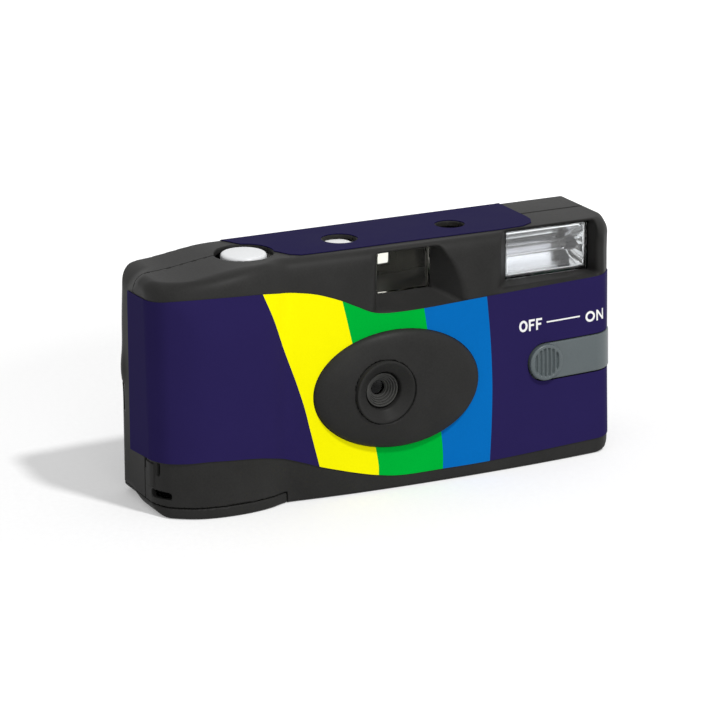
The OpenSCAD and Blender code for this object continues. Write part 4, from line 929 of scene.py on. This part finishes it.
stand_for(lay_sheet("front_label_sheet", flat, tris, on_girth, LABEL_RISE,
                    [navy_print, yellow_print, green_print, blue_print], band_finish),
          "body", "label_print", "front_label")

# Top label, folded down the back
top_outline = straight_through([
    (-32.4, over_at(z=8.0)), (-32.4, over_at(y=14.8)), (-23.54, over_at(y=-3.35)), (-21.5, over_at(y=-4.9)),
    (-14.3, over_at(y=-5.27)), (3.75, over_at(y=-5.3)), (29.7, over_at(y=-5.95)), (36.0, over_at(y=-5.6)),
    (39.2, over_at(y=-3.83)), (40.5, over_at(y=-1.2)), (40.8, over_at(y=1.44)), (40.8, over_at(z=8.0)),
    (-32.4, over_at(z=8.0))], 0.8)[:-1]
label_holes = [
    ring_points(BUTTON_X, over_at(y=BUTTON_Y), 7.0, 7.0, 96),
    ring_points(COUNTER_X, over_at(y=COUNTER_Y), 4.3, 4.3, 64),
    ring_points(LAMP_X, over_at(y=LAMP_Y), 3.6, 3.6, 64),
    straight_through([(-1.4, over_at(z=53.9)), (11.0, over_at(z=53.9)), (11.0, over_at(z=45.3)),
                      (-1.4, over_at(z=45.3)), (-1.4, over_at(z=53.9))], 0.8)[:-1],
]
flat, tris = cut_sheet(top_outline, label_holes, spacing=(3.0, 0.8))
# The top label is printed in the darkened navy copy, which paints shade on the top
stand_for(lay_sheet("top_label_sheet", flat, tris, on_section, LABEL_RISE, [navy_print_painted_shade],
                    np.zeros(len(tris), int)),
          "body", "label_print", "top_label")


# OFF, a line and ON beside the switch
def stroke(a, b, width):
    a, b = np.asarray(a, float), np.asarray(b, float)
    d = (b - a) / np.linalg.norm(b - a) * width / 2.0
    side = np.array([-d[1], d[0]])
    return straight_through([a - side, b - side, b + side, a + side, a - side], 0.5)[:-1]


def print_mark(name, outline, holes=()):
    outline = straight_through(np.vstack([outline, outline[:1]]), 0.35)[:-1]
    flat, tris = cut_sheet(outline, holes, spacing=(0.3, 0.9))
    piece = lay_sheet(name, flat, tris, on_girth, MARK_RISE, [white_print], np.zeros(len(tris), int),
                      LABEL_RISE)
    stand_for(piece, "body", "label_print")


def mark_letter(name, kind, u0, z, width, height, pen):
    """One capital letter whose lower left corner is at u0 along the girth and at height z."""
    h = pen / 2.0
    if kind == "O":
        cu, cv = u0 + width / 2.0, z + height / 2.0
        print_mark(name, ring_points(cu, cv, width / 2.0, height / 2.0, 40),
                   [ring_points(cu, cv, width / 2.0 - pen, height / 2.0 - pen, 40)])
    if kind == "F":
        stem, arm, mid = u0 + pen, u0 + width * 0.85, z + height * 0.5
        outline = [(u0, z), (stem, z), (stem, mid - h), (arm, mid - h), (arm, mid + h), (stem, mid + h),
                   (stem, z + height - pen), (u0 + width, z + height - pen), (u0 + width, z + height),
                   (u0, z + height)]
        print_mark(name, np.array(outline))
    if kind == "N":
        outline = [(u0, z), (u0 + pen, z), (u0 + pen, z + height - 1.5 * pen), (u0 + width - pen, z),
                   (u0 + width, z), (u0 + width, z + height), (u0 + width - pen, z + height),
                   (u0 + width - pen, z + 1.5 * pen), (u0 + pen, z + height), (u0, z + height)]
        print_mark(name, np.array(outline))


OFF_Z, ON_Z, LINE_Z = 33.05, 32.75, 34.55
off_start, on_start = run_at(31.7), run_at(50.3)
mark_letter("mark_off_o", "O", off_start, OFF_Z, 2.3, 2.75, 0.55)
mark_letter("mark_off_f1", "F", off_start + 2.65, OFF_Z, 1.65, 2.75, 0.5)
mark_letter("mark_off_f2", "F", off_start + 4.65, OFF_Z, 1.65, 2.75, 0.5)
mark_letter("mark_on_o", "O", on_start, ON_Z, 2.75, 2.6, 0.55)
mark_letter("mark_on_n", "N", on_start + 3.2, ON_Z, 2.6, 2.6, 0.5)
print_mark("mark_line", stroke((run_at(39.3), LINE_Z), (run_at(48.7), LINE_Z), 0.35))

# Lens: barrel with its dish, the grooved funnel in it and the small front element
GROOVE_IN, GROOVE_BACK = 0.44, 0.47
FUNNEL_RADIUS = 4.02
funnel = [(3.95 - GROOVE_IN * i - inward, -13.1 + GROOVE_BACK * i + back)
          for i in range(5) for inward, back in ((0.0, 0.0), (0.22, 0.05), (0.32, 0.6))][:-1]
lens_holder = turned("lens_holder_turning", [
    (7.0, -8.1), (7.5, -8.4), (7.5, -15.25), (7.42, -15.42), (7.2, -15.5), (6.95, -15.45), (6.75, -15.3),
    (4.9, -14.1), (4.6, -13.85), (4.5, -13.6), (4.5, -12.2), (4.3, -12.0), (4.1, -12.2), (4.05, -13.0)]
    + funnel + [(1.75, -10.72), (1.7, -10.62), (3.2, -10.55), (3.2, -8.1), (7.0, -8.1)],
    (LENS_X, LENS_Z), black_plastic, sharp=30.0)
lens_holder.data.materials.append(lens_ring_plastic)
for face in lens_holder.data.polygons:
    off = math.hypot(face.center.x / MM - LENS_X, face.center.z / MM - LENS_Z)
    face.material_index = int(off < FUNNEL_RADIUS)
stand_for(lens_holder, "body", "inner_plastic", "lens_holder")
front_element = turned("taking_lens_element", [
    (0.0, -10.6), (0.6, -10.58), (1.2, -10.52), (1.8, -10.42), (2.4, -10.28), (3.1, -10.05), (3.1, -9.5),
    (3.0, -9.42), (0.0, -9.42)], (LENS_X, LENS_Z), lens_glass, sharp=30.0)
stand_for(front_element, "body", "clear_plastic", "taking_lens")


# Floor, light and camera, in metres
def sight_rays(tree):
    """One for rays that the camera sees straight, mirrored or through clear pieces."""
    path = add(tree, "ShaderNodeLightPath").outputs
    seen = add(tree, "ShaderNodeMath", {0: path["Is Camera Ray"], 1: path["Is Glossy Ray"]},
               operation="MAXIMUM")
    seen = add(tree, "ShaderNodeMath", {0: seen.outputs[0], 1: path["Is Transmission Ray"]},
               operation="MAXIMUM")
    return seen.outputs[0]


floor = bpy.data.meshes.new("floor")
floor.from_pydata([(-4, -4, 0), (4, -4, 0), (4, 4, 0), (-4, 4, 0)], [], [(0, 1, 2, 3)])
floor = bpy.data.objects.new("floor", floor)
bpy.context.scene.collection.objects.link(floor)
floor_finish = bpy.data.materials.new("floor_finish")
floor_finish.use_nodes = True
tree = floor_finish.node_tree
tree.nodes.remove(tree.nodes["Principled BSDF"])
place = add(tree, "ShaderNodeTexCoord").outputs["Object"]
paper = spread(tree, noise(tree, place, 900.0, 3.0), 0.72, 0.78)
matt = add(tree, "ShaderNodeBsdfDiffuse", {"Color": paper})
seen = sight_rays(tree)
reach = add(tree, "ShaderNodeVectorMath", {0: place}, operation="LENGTH").outputs["Value"]
sweep = add(tree, "ShaderNodeMapRange", {"Value": reach, "From Min": 0.12, "From Max": 0.4,
                                         "To Min": 0.28, "To Max": 1.0})
glow = add(tree, "ShaderNodeMath", {0: seen, 1: sweep.outputs["Result"]}, operation="MULTIPLY")
glow = add(tree, "ShaderNodeEmission", {"Color": (1.0, 1.0, 1.0, 1.0), "Strength": glow.outputs[0]})
both = add(tree, "ShaderNodeAddShader", {0: matt.outputs[0], 1: glow.outputs[0]})
tree.links.new(both.outputs[0], tree.nodes["Material Output"].inputs["Surface"])
floor.data.materials.append(floor_finish)

world = bpy.data.worlds.new("studio")
bpy.context.scene.world = world
world.use_nodes = True
tree = world.node_tree
seen = sight_rays(tree)
level = add(tree, "ShaderNodeMapRange", {"Value": seen, "To Min": 0.46, "To Max": 1.0})
tree.links.new(level.outputs["Result"], tree.nodes["Background"].inputs["Strength"])
tree.nodes["Background"].inputs["Color"].default_value = (1.0, 1.0, 1.0, 1.0)


def soft_light(name, spot, aim, size, power):
    light = bpy.data.lights.new(name, "AREA")
    light.shape = "DISK"
    light.size = size
    light.energy = power
    lamp = bpy.data.objects.new(name, light)
    bpy.context.scene.collection.objects.link(lamp)
    lamp.location = spot
    lamp.rotation_euler = (Vector(aim) - Vector(spot)).to_track_quat("-Z", "Y").to_euler()


soft_light("key_light", (0.24, -0.62, 1.1), (0.0, 0.0, 0.02), 0.11, 9.5)
soft_light("front_fill", (-0.35, -1.35, 0.5), (0.0, 0.0, 0.02), 0.9, 4.0)

right = Vector((0.8929, -0.4503, 0.0)).normalized()
ahead = Vector((0.4298, 0.8522, -0.2983)).normalized()
up = right.cross(ahead)
camera = bpy.data.cameras.new("camera")
camera.lens = 177.94
camera.sensor_width = 36.0
camera.clip_start = 0.05
camera_object = bpy.data.objects.new("camera", camera)
bpy.context.scene.collection.objects.link(camera_object)
turn = Matrix((right, up, -ahead)).transposed().to_4x4()
eye = Vector((-0.36101, -0.70797, 0.27580))
camera_object.matrix_world = Matrix.Translation(eye) @ turn
bpy.context.scene.camera = camera_object
bpy.context.scene.view_settings.view_transform = "Standard"
